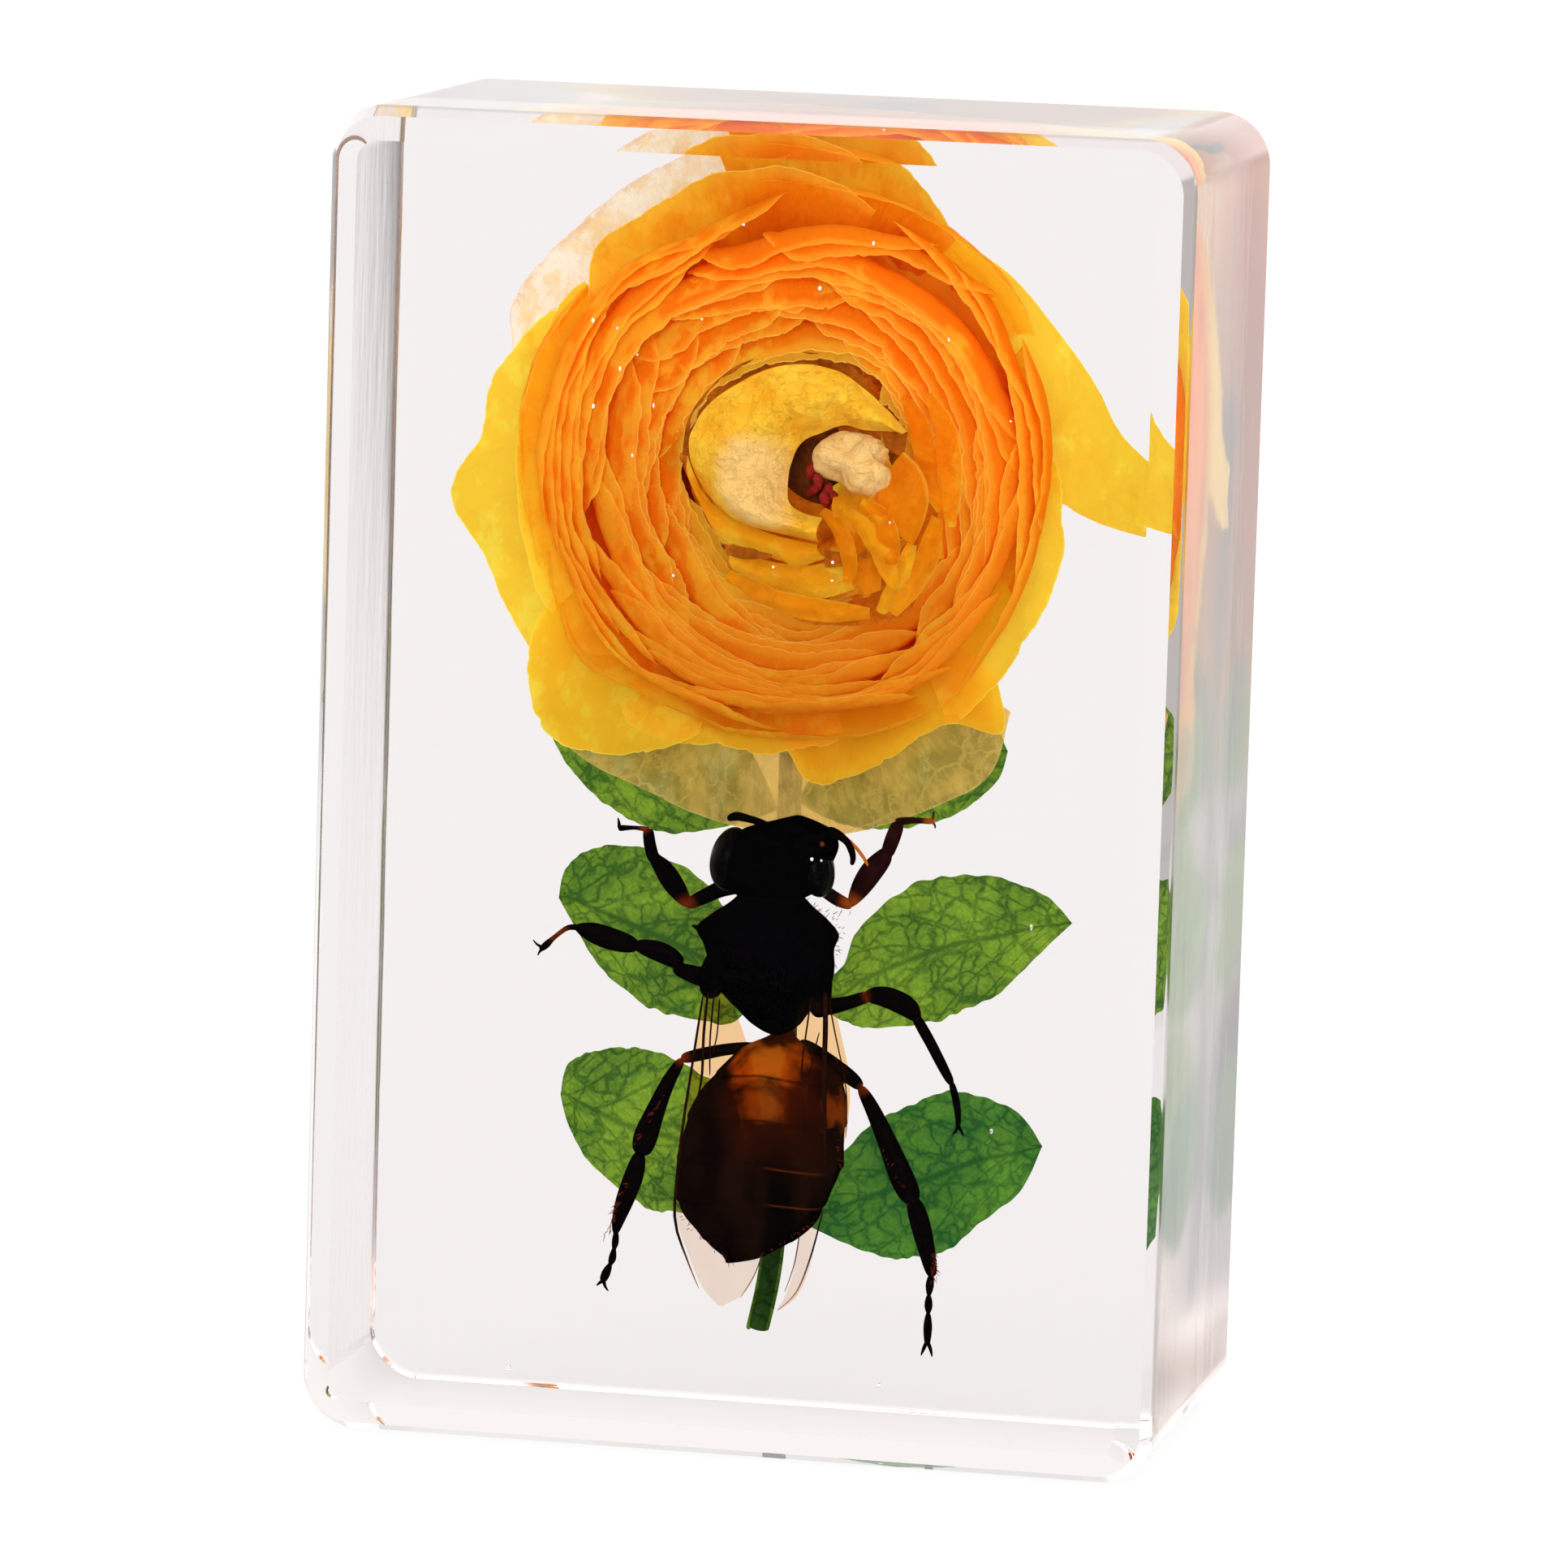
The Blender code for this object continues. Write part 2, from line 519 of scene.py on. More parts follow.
def petal_finish(name, base, rim, glow, deep_glow, thin, shown=0.5, clear=0.0, gold=0.4, fleck=0.5,
                 film_colour=(0.80, 0.52, 0.15)):
    """Colours of the surface at base and rim and of the light through it.

    thin is how much light comes through rather than back, shown where along the petal its visible
    part starts, and clear how see-through the petal is. gold is how far the outer parts turn yellow,
    and fleck how strong the pale flecks are, which are partly paler patches of the petal and partly
    painted glow. film_colour tints what is seen through a clear petal.
    """
    material, graph = new_finish(name)
    uv = graph.node("UVMap", {"uv_map": "UVMap"})
    spot = graph.place()
    streaks = graph.noise(graph.stretch(uv, (40, 9, 1)), 1.0, 4.0, 0.7)
    blotches = graph.noise(spot, 0.45, 3.0, 0.55)
    mottle = graph.noise(spot, 1.7, 4.0, 0.65)
    height = graph.axis(uv, "Y")
    painted_lit_rim = height.step(1 - LIT_RIM_WIDTH, 1 - LIT_RIM_WIDTH * 0.4)
    x, z = graph.axis(spot, "X") - FLOWER_BASE.x, graph.axis(spot, "Z") - FLOWER_BASE.z
    outward = (x * x + z * z).step(OUTWARD_FROM, OUTWARD_FULL) * gold
    # Painted light: the lower petals turn yellower and pass paler light, as if lit from below.
    lower = z.step(LOWER_FROM, LOWER_FULL) * LOWER_PAINTED_LIGHT
    # The tone deepens away from the rim, partly the petal's own colour and partly painted shade between the
    # rings.
    tone = height.step(shown, 1.0) * 0.75 + blotches * 0.6 + streaks * 0.35 + outward + lower
    colour = graph.blend(tone.step(0.55, 1.25), base, rim)
    sparse = graph.noise(graph.stretch(spot, (1.1, 1.1, 0.6)), 0.8, 3.0, 0.6)
    # Pale flecks are partly paler patches of the petal and partly painted glow, a little more of it to the
    # left.
    flecks_and_painted_glow = (sparse * 0.7 + mottle * 0.3 + x.step(1.0, -5.0) * 0.09).step(0.55, 0.65) * fleck
    colour = graph.blend(flecks_and_painted_glow, colour, paler(glow, 1.2, 0.02))
    # The pale line along the rim is painted light, for the bright lit edge of the petal.
    colour = graph.blend(painted_lit_rim, colour, paler(rim, 1.15, 0.08))
    bump = graph.bump(streaks * 0.6 + mottle * 0.4, 0.6, 0.16)
    skin = graph.surface(colour, 0.38, IOR=SEALED_IOR, Normal=bump)
    light, deep = (graph.shine_through(tint, Normal=bump) for tint in (glow, deep_glow))
    bright = graph.shine_through(paler(glow, 1.2, 0.05))
    depth = blotches * 0.9 + streaks * 0.6 + mottle * 0.5 - outward * 0.7 - lower
    through = graph.mix(depth.step(0.7, 1.2), light, deep)
    through = graph.mix(painted_lit_rim.sum("MAXIMUM", flecks_and_painted_glow * 0.7), through, bright)
    petal = graph.mix(thin, skin, through)
    if clear:
        veins = 1 - graph.edges(graph.add(spot, mottle), 0.75).step(0.0, 0.07)
        cloud = streaks.step(0.42, 0.62) * 0.3 + blotches.step(0.45, 0.62) * 0.4
        cloud = cloud.sum("MAXIMUM", veins * 0.4)
        petal = graph.mix((1 - clear) + cloud * clear, graph.film(film_colour), petal)
    graph.output(petal)
    return material


YELLOW = petal_finish("petal_yellow", (0.96, 0.41, 0.012), (0.98, 0.60, 0.03),
                      (1.0, 0.78, 0.06), (0.98, 0.50, 0.02), 0.60)
AMBER = petal_finish("petal_amber", (0.93, 0.27, 0.005), (0.98, 0.55, 0.03),
                     (1.0, 0.70, 0.03), (0.96, 0.40, 0.01), 0.62, shown=0.90, gold=0.15)
ORANGE = petal_finish("petal_orange", (0.94, 0.27, 0.004), (0.99, 0.54, 0.03),
                      (1.0, 0.66, 0.03), (0.98, 0.42, 0.008), 0.66, shown=0.94, gold=0.5)
DEEP = petal_finish("petal_deep", (0.85, 0.23, 0.006), (0.90, 0.42, 0.03),
                    (0.92, 0.60, 0.03), (0.86, 0.33, 0.01), 0.62, shown=0.90, gold=0.1, fleck=0.3)
CREAM = petal_finish("petal_cream", (0.99, 0.72, 0.30), (0.80, 0.42, 0.22),
                     (1.0, 0.92, 0.68), (0.97, 0.74, 0.34), 0.5, shown=0.93, clear=0.4, gold=0.0,
                     fleck=0.9, film_colour=(0.99, 0.90, 0.72))
FILM = petal_finish("petal_film", (0.88, 0.56, 0.13), (0.90, 0.58, 0.12),
                    (0.96, 0.76, 0.30), (0.92, 0.62, 0.16), 0.55, shown=0.7, clear=0.62)
print("petal finishes ready")

# %% [markdown]
# The bloom is a set of nested cups. Each petal starts at the base of the flower, bellies outwards
# and comes forward to its rim. The rims of the cupped ones lie on a low dome that stands forward in
# the middle, and every rim stands a little off the cup inside it, which gives the fine lines of a
# ranunculus. The outer petals lie open. The flower leans a little to the right as it comes forward,
# so its axis moves with depth.

# %% Petals
FLOWER_LEAN = Vector((-0.155, 0.0, -0.04))
LEAN_DEPTH = 3.0  # where the axis stands over the flower's base
DOME_RADIUS, DOME_DEPTH, DOME_SLOPE = 9.2, 0.9, 0.6
CORE_RADIUS = 0.9  # of the petals' feet
OPEN_TAPER, CUPPED_TAPER = 0.05, 0.22  # how much shorter a petal is at its two ends
PETAL_GRID = (110, 36)  # faces across and along
# How far a cupped petal bellies out beyond its rim, which grows towards the middle of the bloom
BELLY_RADIUS, BELLY_SLOPE, BELLY_LEAST, BELLY_MOST = 9.3, 0.5, 0.35, 2.3


def flower_axis(depth):
    return FLOWER_BASE + FLOWER_LEAN * (depth - LEAN_DEPTH)


def dome(radius):
    """The depth of the bloom's front at a radius."""
    return DOME_DEPTH - (DOME_RADIUS - radius) * DOME_SLOPE


def bezier(points, share):
    """A point on a curve with four control points, as (radius, depth)."""
    a, b, c, d = points
    rest = 1 - share
    weights = (rest ** 3, 3 * rest ** 2 * share, 3 * rest * share ** 2, share ** 3)
    return [sum(w * p[k] for w, p in zip(weights, (a, b, c, d))) for k in (0, 1)]


def seed_of(name):
    return sum(map(ord, name)) * 0.37


def petal(name, finish, start, end, reaches, depth=None, ruffle=0.16, ragged=0.006):
    """A petal between two angles about the flower's axis. Its rim lies at the reaches, in order.

    A petal with a depth lies open, with its rim at that depth. Without one it is cupped.
    """
    seed = seed_of(name)
    base = FLOWER_BASE.y
    taper = CUPPED_TAPER if depth is None else OPEN_TAPER

    def surface(s, t):
        reach = along([(r,) for r in reaches], s)[0]
        torn = ragged * max(wave(seed, s * 15) + 0.6 * wave(seed + 0.2, s * 55), 0.0)
        share = t * (1 - taper * abs(2 * s - 1) ** 8 - torn)
        angle = start + (end - start) * (0.5 + (s - 0.5) * (0.75 + 0.25 * share))
        if depth is None:
            rim = dome(reach)
            belly = BELLY_LEAST + BELLY_SLOPE * (BELLY_RADIUS - reach)
            belly = min(max(belly, BELLY_LEAST), BELLY_MOST)
            profile = ((CORE_RADIUS, base), (reach + belly * 0.7, base),
                       (reach + belly, rim + 0.6 + 0.4 * belly), (reach, rim))
        else:
            profile = ((CORE_RADIUS, base), (reach * 0.45, base), (reach * 0.8, depth + 0.4),
                       (reach, depth))
        radius, y = bezier(profile, share)
        folds = wave(seed + 0.4, angle * 0.035, share * 1.5)
        folds += 0.35 * wave(seed + 0.6, angle * 0.13, share * 8)
        folds += 0.15 * wave(seed + 0.8, angle * 0.4, share * 20)
        radius += folds * ruffle * share ** 3
        y += folds * ruffle * share ** 2 * (0.6 if depth is None else 2.0)
        centre = flower_axis(y)
        turned = math.radians(angle)
        return Vector((centre.x + radius * math.cos(turned), y, centre.z + radius * math.sin(turned)))
    return place(name, sheet(surface, *PETAL_GRID), finish, "petal", outward=False)


def flap(name, finish, inner, outer, depth, bulge=0.4, ruffle=0.15, across=60, length=24):
    """A sheet between two edges, each a list of (x, z), that swells forward between them."""
    seed = seed_of(name)

    def surface(s, t):
        x, z = (a + (b - a) * t for a, b in zip(along(inner, s), along(outer, s)))
        folds = wave(seed, x * 0.8, z * 0.8) + 0.5 * wave(seed + 0.3, x * 2.5, z * 2.5)
        return Vector((x, depth - bulge * math.sin(math.pi * t) + ruffle * folds, z))
    return place(name, sheet(surface, across, length), finish, "petal", outward=False)


# %% Outer petals
petal("petal_top_left_pale", CREAM, 92, 162,
      (11.3, 11.0, 10.8, 10.75, 10.7, 10.75, 10.9, 11.0, 10.6), 2.5, ruffle=0.06)
petal("petal_left_outer", YELLOW, 150, 226, (9.9, 10.3, 10.8, 10.8, 11.9, 11.4, 11.3, 11.3, 11.4), 2.6)
petal("petal_bottom_film", FILM, 215, 314,
      (11.0, 12.3, 12.5, 12.25, 12.3, 12.4, 12.5, 12.4, 12.3, 12.2, 11.2), 2.2, ruffle=0.04, ragged=0.002)
flap("petal_right_long", YELLOW,
     [(2.0, 34.0), (5.0, 32.5), (8.8, 31.6), (9.9, 31.1), (11.1, 30.7), (12.3, 30.5), (13.6, 30.6)],
     [(2.6, 42.4), (4.1, 40.9), (5.4, 40.1), (7.4, 38.8), (9.1, 36.9), (10.1, 35.6), (10.9, 34.2),
      (11.6, 33.4), (12.3, 32.9), (13.6, 32.6)], 2.4)
petal("petal_top_back", DEEP, 56, 107, (9.4, 9.8, 10.4, 10.9, 10.9, 11.2, 11.5, 11.3), 1.5)
petal("petal_top_left", DEEP, 74, 145, (9.2, 9.5, 9.9, 9.95, 10.0, 9.8, 9.75, 9.85, 9.2), 1.2)
petal("petal_left_inner", YELLOW, 142, 214, (9.6, 9.5, 9.5, 9.6, 9.9, 10.3), 1.7)
petal("petal_lower_left", YELLOW, 212, 252, (10.6, 11.6, 12.4, 12.5, 11.8, 11.0, 10.1), 1.9, ragged=0.01)
petal("petal_bottom_back", AMBER, 236, 282, (10.6, 10.4, 9.95, 9.8, 9.6, 9.5), 1.8, ragged=0.01)
petal("petal_low_corner", AMBER, 268, 316,
      (9.6, 10.7, 10.7, 10.5, 10.3, 10.1, 10.3, 11.3, 10.1), 1.9, ragged=0.01)
petal("petal_right_lower", YELLOW, -58, 4, (10.2, 9.9, 9.75, 9.65, 9.5, 9.0, 8.8), 1.5)

# %% [markdown]
# Inside the open petals the cupped ones form rings. Each row below is a petal's first and last angle
# and its reaches between them, from the outermost to the innermost. Behind each petal from the seventh
# row on a twin is tucked in, a little further out and a little further round.

# %% Ring petals
chance = random.Random(5)
TWINS_FROM = 6  # the rings outside this one have none
TWIN_TURN, TWIN_STEP = (6, 18), (0.12, 0.3)  # least and most, in degrees and in millimetres
RINGS = [
    (ORANGE, 28, 106, (8.9, 9.2, 9.2, 9.2, 9.3, 9.5)),
    (AMBER, 140, 208, (9.2, 9.4, 9.3, 9.3, 9.4)), (AMBER, 200, 260, (8.9, 9.4, 9.8, 9.3, 9.0, 9.0)),
    (AMBER, 252, 302, (9.3, 9.1, 9.05, 9.1, 9.1)), (AMBER, -60, 34, (9.3, 8.5, 8.2, 8.1, 8.2, 8.3)),
    (AMBER, 92, 142, (8.75, 8.2, 7.9, 7.7, 7.9, 8.1)),
    (ORANGE, 110, 206, (7.4, 7.7, 8.1, 8.25, 8.25, 8.3, 8.4)),
    (AMBER, 196, 262, (8.2, 8.4, 8.5, 8.4, 8.4)), (AMBER, 240, 312, (8.5, 8.0, 7.75, 7.75, 8.0)),
    (ORANGE, 57, 120, (8.3, 7.7, 7.5, 7.1, 6.7, 7.0)),
    (AMBER, -32, 57, (7.9, 7.6, 7.45, 7.4, 7.6, 8.1, 8.2)),
    (ORANGE, 148, 240, (7.6, 7.7, 7.75, 7.8, 7.8)),
    (ORANGE, 222, 328, (7.5, 7.55, 7.6, 7.65, 7.6, 7.4, 7.2)),
    (ORANGE, 118, 216, (6.9, 7.1, 7.2, 7.2, 7.1)), (ORANGE, 198, 284, (7.0, 6.95, 7.0, 7.1, 7.15)),
    (ORANGE, -62, 12, (7.1, 6.95, 6.9, 6.85, 6.9)),
    (ORANGE, 4, 136, (6.7, 6.5, 6.35, 6.25, 6.0, 6.15, 6.15, 6.3)),
    (ORANGE, 92, 192, (5.7, 5.9, 6.3, 6.55, 6.5, 6.4)),
    (ORANGE, -32, 90, (6.4, 6.2, 6.05, 6.0, 6.0, 6.1, 5.9, 5.6)),
    (ORANGE, 172, 304, (5.9, 5.95, 6.1, 6.35, 6.5, 6.65, 6.5, 6.3)),
    (ORANGE, -56, 8, (6.4, 6.2, 6.0, 5.9)), (ORANGE, 84, 152, (4.9, 5.1, 5.2, 5.3, 5.6)),
    (ORANGE, -34, 82, (5.9, 5.6, 5.3, 5.15, 5.3, 5.4, 5.3)),
    (ORANGE, 138, 232, (5.4, 5.35, 5.2, 5.3, 5.5)), (ORANGE, 214, 312, (5.6, 5.9, 6.0, 5.9, 5.8)),
    (ORANGE, 82, 152, (4.6, 4.4, 4.5, 4.7, 4.9)),
    (ORANGE, -40, 94, (5.5, 5.0, 4.75, 4.5, 4.55, 4.4, 4.3)),
    (ORANGE, 140, 218, (4.7, 4.6, 4.6, 4.7)), (ORANGE, 240, 332, (5.0, 5.4, 5.3, 5.2, 5.0)),
    (ORANGE, 176, 268, (3.9, 3.95, 4.3, 4.7, 5.2, 5.5)),
    (ORANGE, -48, 32, (5.2, 4.7, 4.4, 4.3)), (ORANGE, -26, 82, (4.9, 4.6, 4.2, 4.1, 4.05, 4.0)),
    (AMBER, 0, 178, (4.0, 3.9, 3.95, 3.8, 3.5, 3.5, 3.7, 3.85, 3.85)),
    (AMBER, 215, 335, (4.5, 4.6, 4.7, 4.6, 4.4)), (ORANGE, 198, 322, (4.0, 4.2, 4.3, 4.3, 4.1)),
    (ORANGE, 120, 222, (3.75, 3.75, 3.8, 3.9, 4.0)), (AMBER, 188, 330, (3.3, 3.45, 3.7, 3.9, 3.9, 3.7, 3.4)),
]
for number, (finish, start, end, reaches) in enumerate(RINGS):
    name = f"petal_ring_{number + 1:02}"
    petal(name, finish, start, end, reaches)
    turn = chance.choice((-1, 1)) * chance.uniform(*TWIN_TURN)
    if number >= TWINS_FROM:
        petal(name + "_twin", finish, start + turn, end + turn,
              [r + chance.uniform(*TWIN_STEP) for r in reaches], ragged=0.01)

# %% [markdown]
# The middle of the bloom is a thick curled petal, like the letter C, around a small dark hollow. It
# is yellow along its top and cream where it turns in. Dried petals hold a cream lump in the hollow,
# with a few dark red tips, and more petals are folded lengthwise below it. The hollow is a dark ball
# of painted shade, and thin dark sheets paint the shadows in the gaps around the curl.

# %% Heart finish
HEART_THIN = 0.2  # the share of the light that comes through


def heart_finish(name, low_tone, high_tone, glow, turned_in=None):
    """turned_in is a colour, a point (x, y, z) and a reach, for a part of the piece that differs."""
    material, graph = new_finish(name)
    spot = graph.place()
    wrinkles = graph.noise(graph.stretch(spot, (1.0, 1.0, 1.8)), 2.0, 6.0, 0.65)
    patches = graph.noise(spot, 0.7, 2.0)
    fibres = graph.noise(graph.stretch(spot, (5.0, 5.0, 0.8)), 1.0, 3.0, 0.6)
    tone = patches * 0.6 + wrinkles * 0.3 + fibres * 0.3
    colour = graph.ramp(tone, (0.45, low_tone), (0.72, high_tone))
    if turned_in:
        other, point, reach = turned_in
        away = graph.distance(spot, point) + patches * 0.9 - 0.45
        colour = graph.blend(away.step(reach, reach * 0.55), colour, other)
    shaded_creases = 1 - graph.edges(graph.add(spot, wrinkles), 1.9).step(0.0, 0.035)
    # The crease lines are darkened with painted shade.
    colour = graph.blend(shaded_creases * fibres * 0.15, colour, [c * 0.6 for c in low_tone])
    bump = graph.bump(wrinkles * 0.65 + fibres * 0.3 - shaded_creases * 0.06, 0.9, 0.3)
    skin = graph.surface(colour, 0.5, IOR=SEALED_IOR, Normal=bump)
    graph.output(graph.mix(HEART_THIN, skin, graph.shine_through(glow, Normal=bump)))
    return material


CREAM_TONE = (0.97, 0.66, 0.22)
CURL = heart_finish("petal_heart", (0.92, 0.40, 0.012), (0.99, 0.64, 0.05), (1.0, 0.70, 0.1),
                    (CREAM_TONE, (0.0, -4.6, 32.1), 2.0))
LUMP = heart_finish("heart_cream", (0.96, 0.52, 0.12), (0.98, 0.72, 0.30), (1.0, 0.8, 0.4))
# The hollow, shade and gap finishes are painted shade: dark colours for the hollow, the bed seen between
# petals and the shadowed slits.
HOLLOW_SHADE = heart_finish("heart_hollow_shade", (0.06, 0.015, 0.003), (0.20, 0.055, 0.006), (0.3, 0.1, 0.02))
SHADE = heart_finish("heart_shade", (0.60, 0.13, 0.004), (0.85, 0.28, 0.01), (0.9, 0.3, 0.02))
GAP = heart_finish("heart_gap", (0.22, 0.05, 0.003), (0.55, 0.16, 0.008), (0.7, 0.25, 0.02))
RED = heart_finish("stigma_red", (0.20, 0.008, 0.008), (0.42, 0.03, 0.02), (0.5, 0.05, 0.03))

# %% Heart of the flower
# The bed is dark with painted shade, and the crescent, the two gaps below and the arm shade are thin dark
# sheets of painted shadow.
flap("heart_bed", SHADE,
     [(-3.0, 33.0), (-1.8, 35.3), (0.8, 36.5), (3.0, 35.8), (4.8, 34.3), (5.6, 32.0)],
     [(-3.0, 32.5), (-1.8, 29.8), (0.8, 27.6), (3.0, 27.4), (4.8, 28.0), (5.7, 30.5)],
     -1.7, bulge=0.3, ruffle=0.3, across=80, length=50)
flap("heart_crescent", GAP,
     [(-2.5, 32.6), (-2.3, 34.2), (-1.0, 35.2), (0.6, 35.7), (2.0, 35.6), (3.0, 35.1)],
     [(-2.9, 32.8), (-2.65, 34.2), (-1.3, 35.7), (0.5, 36.3), (2.2, 36.2), (3.2, 35.5)],
     -2.3, bulge=0.0, ruffle=0.05)
flap("heart_curl", CURL,
     [(4.62, 33.92), (4.0, 33.95), (3.3, 33.97), (2.6, 34.08), (1.9, 33.8), (1.3, 33.5), (0.95, 32.9),
      (0.8, 32.2), (0.85, 31.5), (1.3, 31.15), (2.0, 31.0)],
     [(4.7, 33.97), (4.05, 34.65), (3.3, 35.25), (2.5, 35.8), (1.4, 36.0), (0.2, 35.85), (-1.0, 35.25),
      (-2.05, 34.4), (-2.55, 33.2), (-2.1, 31.9), (-0.9, 30.8), (0.6, 30.4), (1.9, 30.2)],
     -3.3, bulge=1.1, ruffle=0.16, across=140, length=60)
flap("heart_under", YELLOW,
     [(-2.6, 32.8), (-2.1, 31.7), (-1.2, 30.9), (0.2, 30.4), (1.8, 30.1)],
     [(-2.5, 31.9), (-1.8, 30.65), (-1.25, 29.9), (-0.2, 29.75), (0.6, 29.6), (1.15, 29.3), (2.1, 29.7)],
     -3.2, bulge=0.5, ruffle=0.12)
flap("heart_gleam", YELLOW, [(-1.1, 29.7), (0.2, 29.45), (1.55, 29.4), (2.7, 29.7)],
     [(-1.0, 29.1), (0.4, 28.5), (1.85, 28.3), (3.1, 28.7)], -2.9, bulge=0.4, ruffle=0.25)
flap("heart_gap_left", GAP, [(-1.3, 30.1), (-0.6, 29.9), (0.35, 29.85)],
     [(-1.2, 29.65), (-0.6, 29.5), (0.35, 29.6)], -3.35, bulge=0.0, ruffle=0.05)
flap("heart_gap_right", GAP, [(2.05, 29.95), (2.7, 29.9), (3.45, 30.15)],
     [(2.1, 29.35), (2.75, 29.45), (3.5, 29.75)], -3.1, bulge=0.0, ruffle=0.05)
flap("heart_wedge", AMBER, [(3.6, 31.95), (4.0, 31.35), (4.4, 30.7), (4.9, 30.35)],
     [(4.6, 33.3), (5.25, 32.7), (5.5, 31.9), (5.35, 31.0), (5.0, 30.25)], -3.3, bulge=0.3, ruffle=0.2)
flap("heart_arm_shade", GAP,
     [(2.4, 34.0), (3.0, 34.0), (3.6, 33.95), (4.1, 33.95), (4.7, 33.95)],
     [(2.4, 33.75), (3.0, 33.7), (3.6, 33.6), (4.1, 33.3), (4.6, 33.1)], -3.0, bulge=0.0, ruffle=0.05)

# %% Folds beside the curl
# Each has its finish, its depth, its half width and the points (x, z) of its middle
FOLDS = [
    (YELLOW, -3.2, 0.8, [(2.3, 31.5), (3.0, 31.55), (3.7, 31.4), (4.3, 31.9)]),
    (AMBER, -3.5, 0.22, [(2.0, 31.25), (2.5, 30.75), (2.85, 30.1), (2.95, 29.45), (2.85, 28.9)]),
    (YELLOW, -3.4, 0.28, [(2.7, 31.3), (3.4, 30.8), (3.9, 30.15), (4.25, 29.4), (4.55, 28.8)]),
    (AMBER, -3.45, 0.3, [(3.3, 31.6), (3.85, 31.2), (4.15, 30.7), (4.3, 30.15), (4.35, 29.6)]),
    (ORANGE, -3.1, 0.4, [(3.1, 30.6), (3.2, 30.0), (3.4, 29.35), (3.7, 28.6)]),
    (YELLOW, -3.2, 0.25, [(5.0, 30.3), (4.7, 29.4), (4.35, 28.6), (4.0, 28.0)]),
    (ORANGE, -3.1, 0.3, [(5.75, 31.2), (5.5, 30.0), (5.0, 28.9), (4.4, 28.0)]),
    (ORANGE, -2.9, 0.3, [(4.6, 34.95), (5.05, 34.2), (5.25, 33.2), (5.4, 32.3), (5.85, 31.4)]),
    (AMBER, -2.8, 0.3, [(5.3, 35.2), (5.85, 34.2), (6.05, 33.1), (6.2, 32.1), (6.2, 30.9)]),
    (AMBER, -2.9, 0.3, [(-1.2, 28.9), (0.2, 28.3), (1.4, 28.0), (2.6, 27.9), (3.6, 27.9)]),
]
for number, (finish, depth, half, middle) in enumerate(FOLDS):
    ahead = [Vector((b[0] - a[0], 0, b[1] - a[1])).normalized()
             for a, b in zip(middle[:1] + middle[:-1], middle[1:] + middle[-1:])]
    halves = [half * (0.3 + math.sin(math.pi * (n + 0.5) / len(middle))) for n in range(len(middle))]
    inner = [(x + a.z * h, z - a.x * h) for (x, z), a, h in zip(middle, ahead, halves)]
    outer = [(x - a.z * h, z + a.x * h) for (x, z), a, h in zip(middle, ahead, halves)]
    flap(f"heart_fold_{number + 1:02}", finish, inner, outer, depth, bulge=0.2, ruffle=0.3)

# %% Cups and ruffles
# The heart stands on four short cups, and ruffled petals lie between it and the rings
CUP_TURN, CUP_WIDTH = 90, 110
for number in range(4):
    start = 20 + number * CUP_TURN
    petal(f"heart_cup_{number + 1}", AMBER, start, start + CUP_WIDTH, (3.0, 3.1, 3.2, 3.1, 3.0),
          depth=-2.9, ruffle=0.1)

RUFFLES = [
    (AMBER, -78, 50, (4.2, 3.9, 3.7, 3.5, 3.45, 3.6, 3.8)), (ORANGE, -66, 42, (3.9, 4.1, 3.9, 3.8, 4.0)),
    (YELLOW, -60, 28, (4.5, 4.2, 4.1, 4.15)), (AMBER, -40, 62, (4.4, 4.3, 4.15, 4.0, 3.9)),
]
for number, (finish, start, end, reaches) in enumerate(RUFFLES):
    petal(f"heart_ruffle_{number + 1:02}", finish, start, end, reaches, ruffle=0.38, ragged=0.02)

# %% Lump, hollow and stigma tips
def blob(name, finish, centre, size, fineness, swell=lambda spot: 1.0):
    """A ball that is stretched to a size, and swells where swell says so."""
    shape = bmesh.new()
    bmesh.ops.create_icosphere(shape, subdivisions=fineness, radius=1.0)
    for v in shape.verts:
        grown = v.co * swell(v.co)
        v.co = Vector(c + s * g for c, s, g in zip(centre, size, grown))
    place(name, shape, finish, "petal")


def lumps(spot):
    x, y, z = spot
    return 1 + 0.3 * wave(8, x * 1.3 + 4, z * 1.3 + y) + 0.04 * wave(9, x * 4, z * 4)


blob("heart_lump", LUMP, (3.05, -3.1, 32.9), (1.2, 0.8, 0.85), 5, lumps)
# The hollow is a dark ball of painted shade.
blob("heart_hollow_shade", HOLLOW_SHADE, (2.2, -2.0, 32.6), (1.9, 0.8, 1.3), 4)

# The tips of the stigma: the middle (x, y, z) of each, and how far it leans
STIGMA = [(1.5, -2.9, 32.5, 20), (1.75, -3.0, 32.2, -10), (2.1, -2.9, 31.9, 30),
          (2.0, -3.0, 31.6, -20), (1.6, -2.8, 31.9, 50), (2.3, -2.9, 31.7, -40)]
shape = bmesh.new()
for x, y, z, angle in STIGMA:
    side, up = math.sin(math.radians(angle)), math.cos(math.radians(angle))
    tube(shape, [(x - 0.3 * side, y + 0.3, z - 0.35 * up, 0.09, 0.09), (x, y, z, 0.18, 0.18),
                 (x + 0.2 * side, y - 0.1, z + 0.25 * up, 0.1, 0.1)], sides=12, steps=12, blunt=4)
place("stigma_tips", shape, RED, "petal")

# %% [markdown]
# The sprig behind has a stem and three pairs of leaves. A leaf is a sheet between its two edges,
# with a ridge along the middle, small teeth on the rim, and a net of dark veins between paler cells.

# %% Leaf finish
LEAF_THIN = 0.6  # the share of the light that comes through


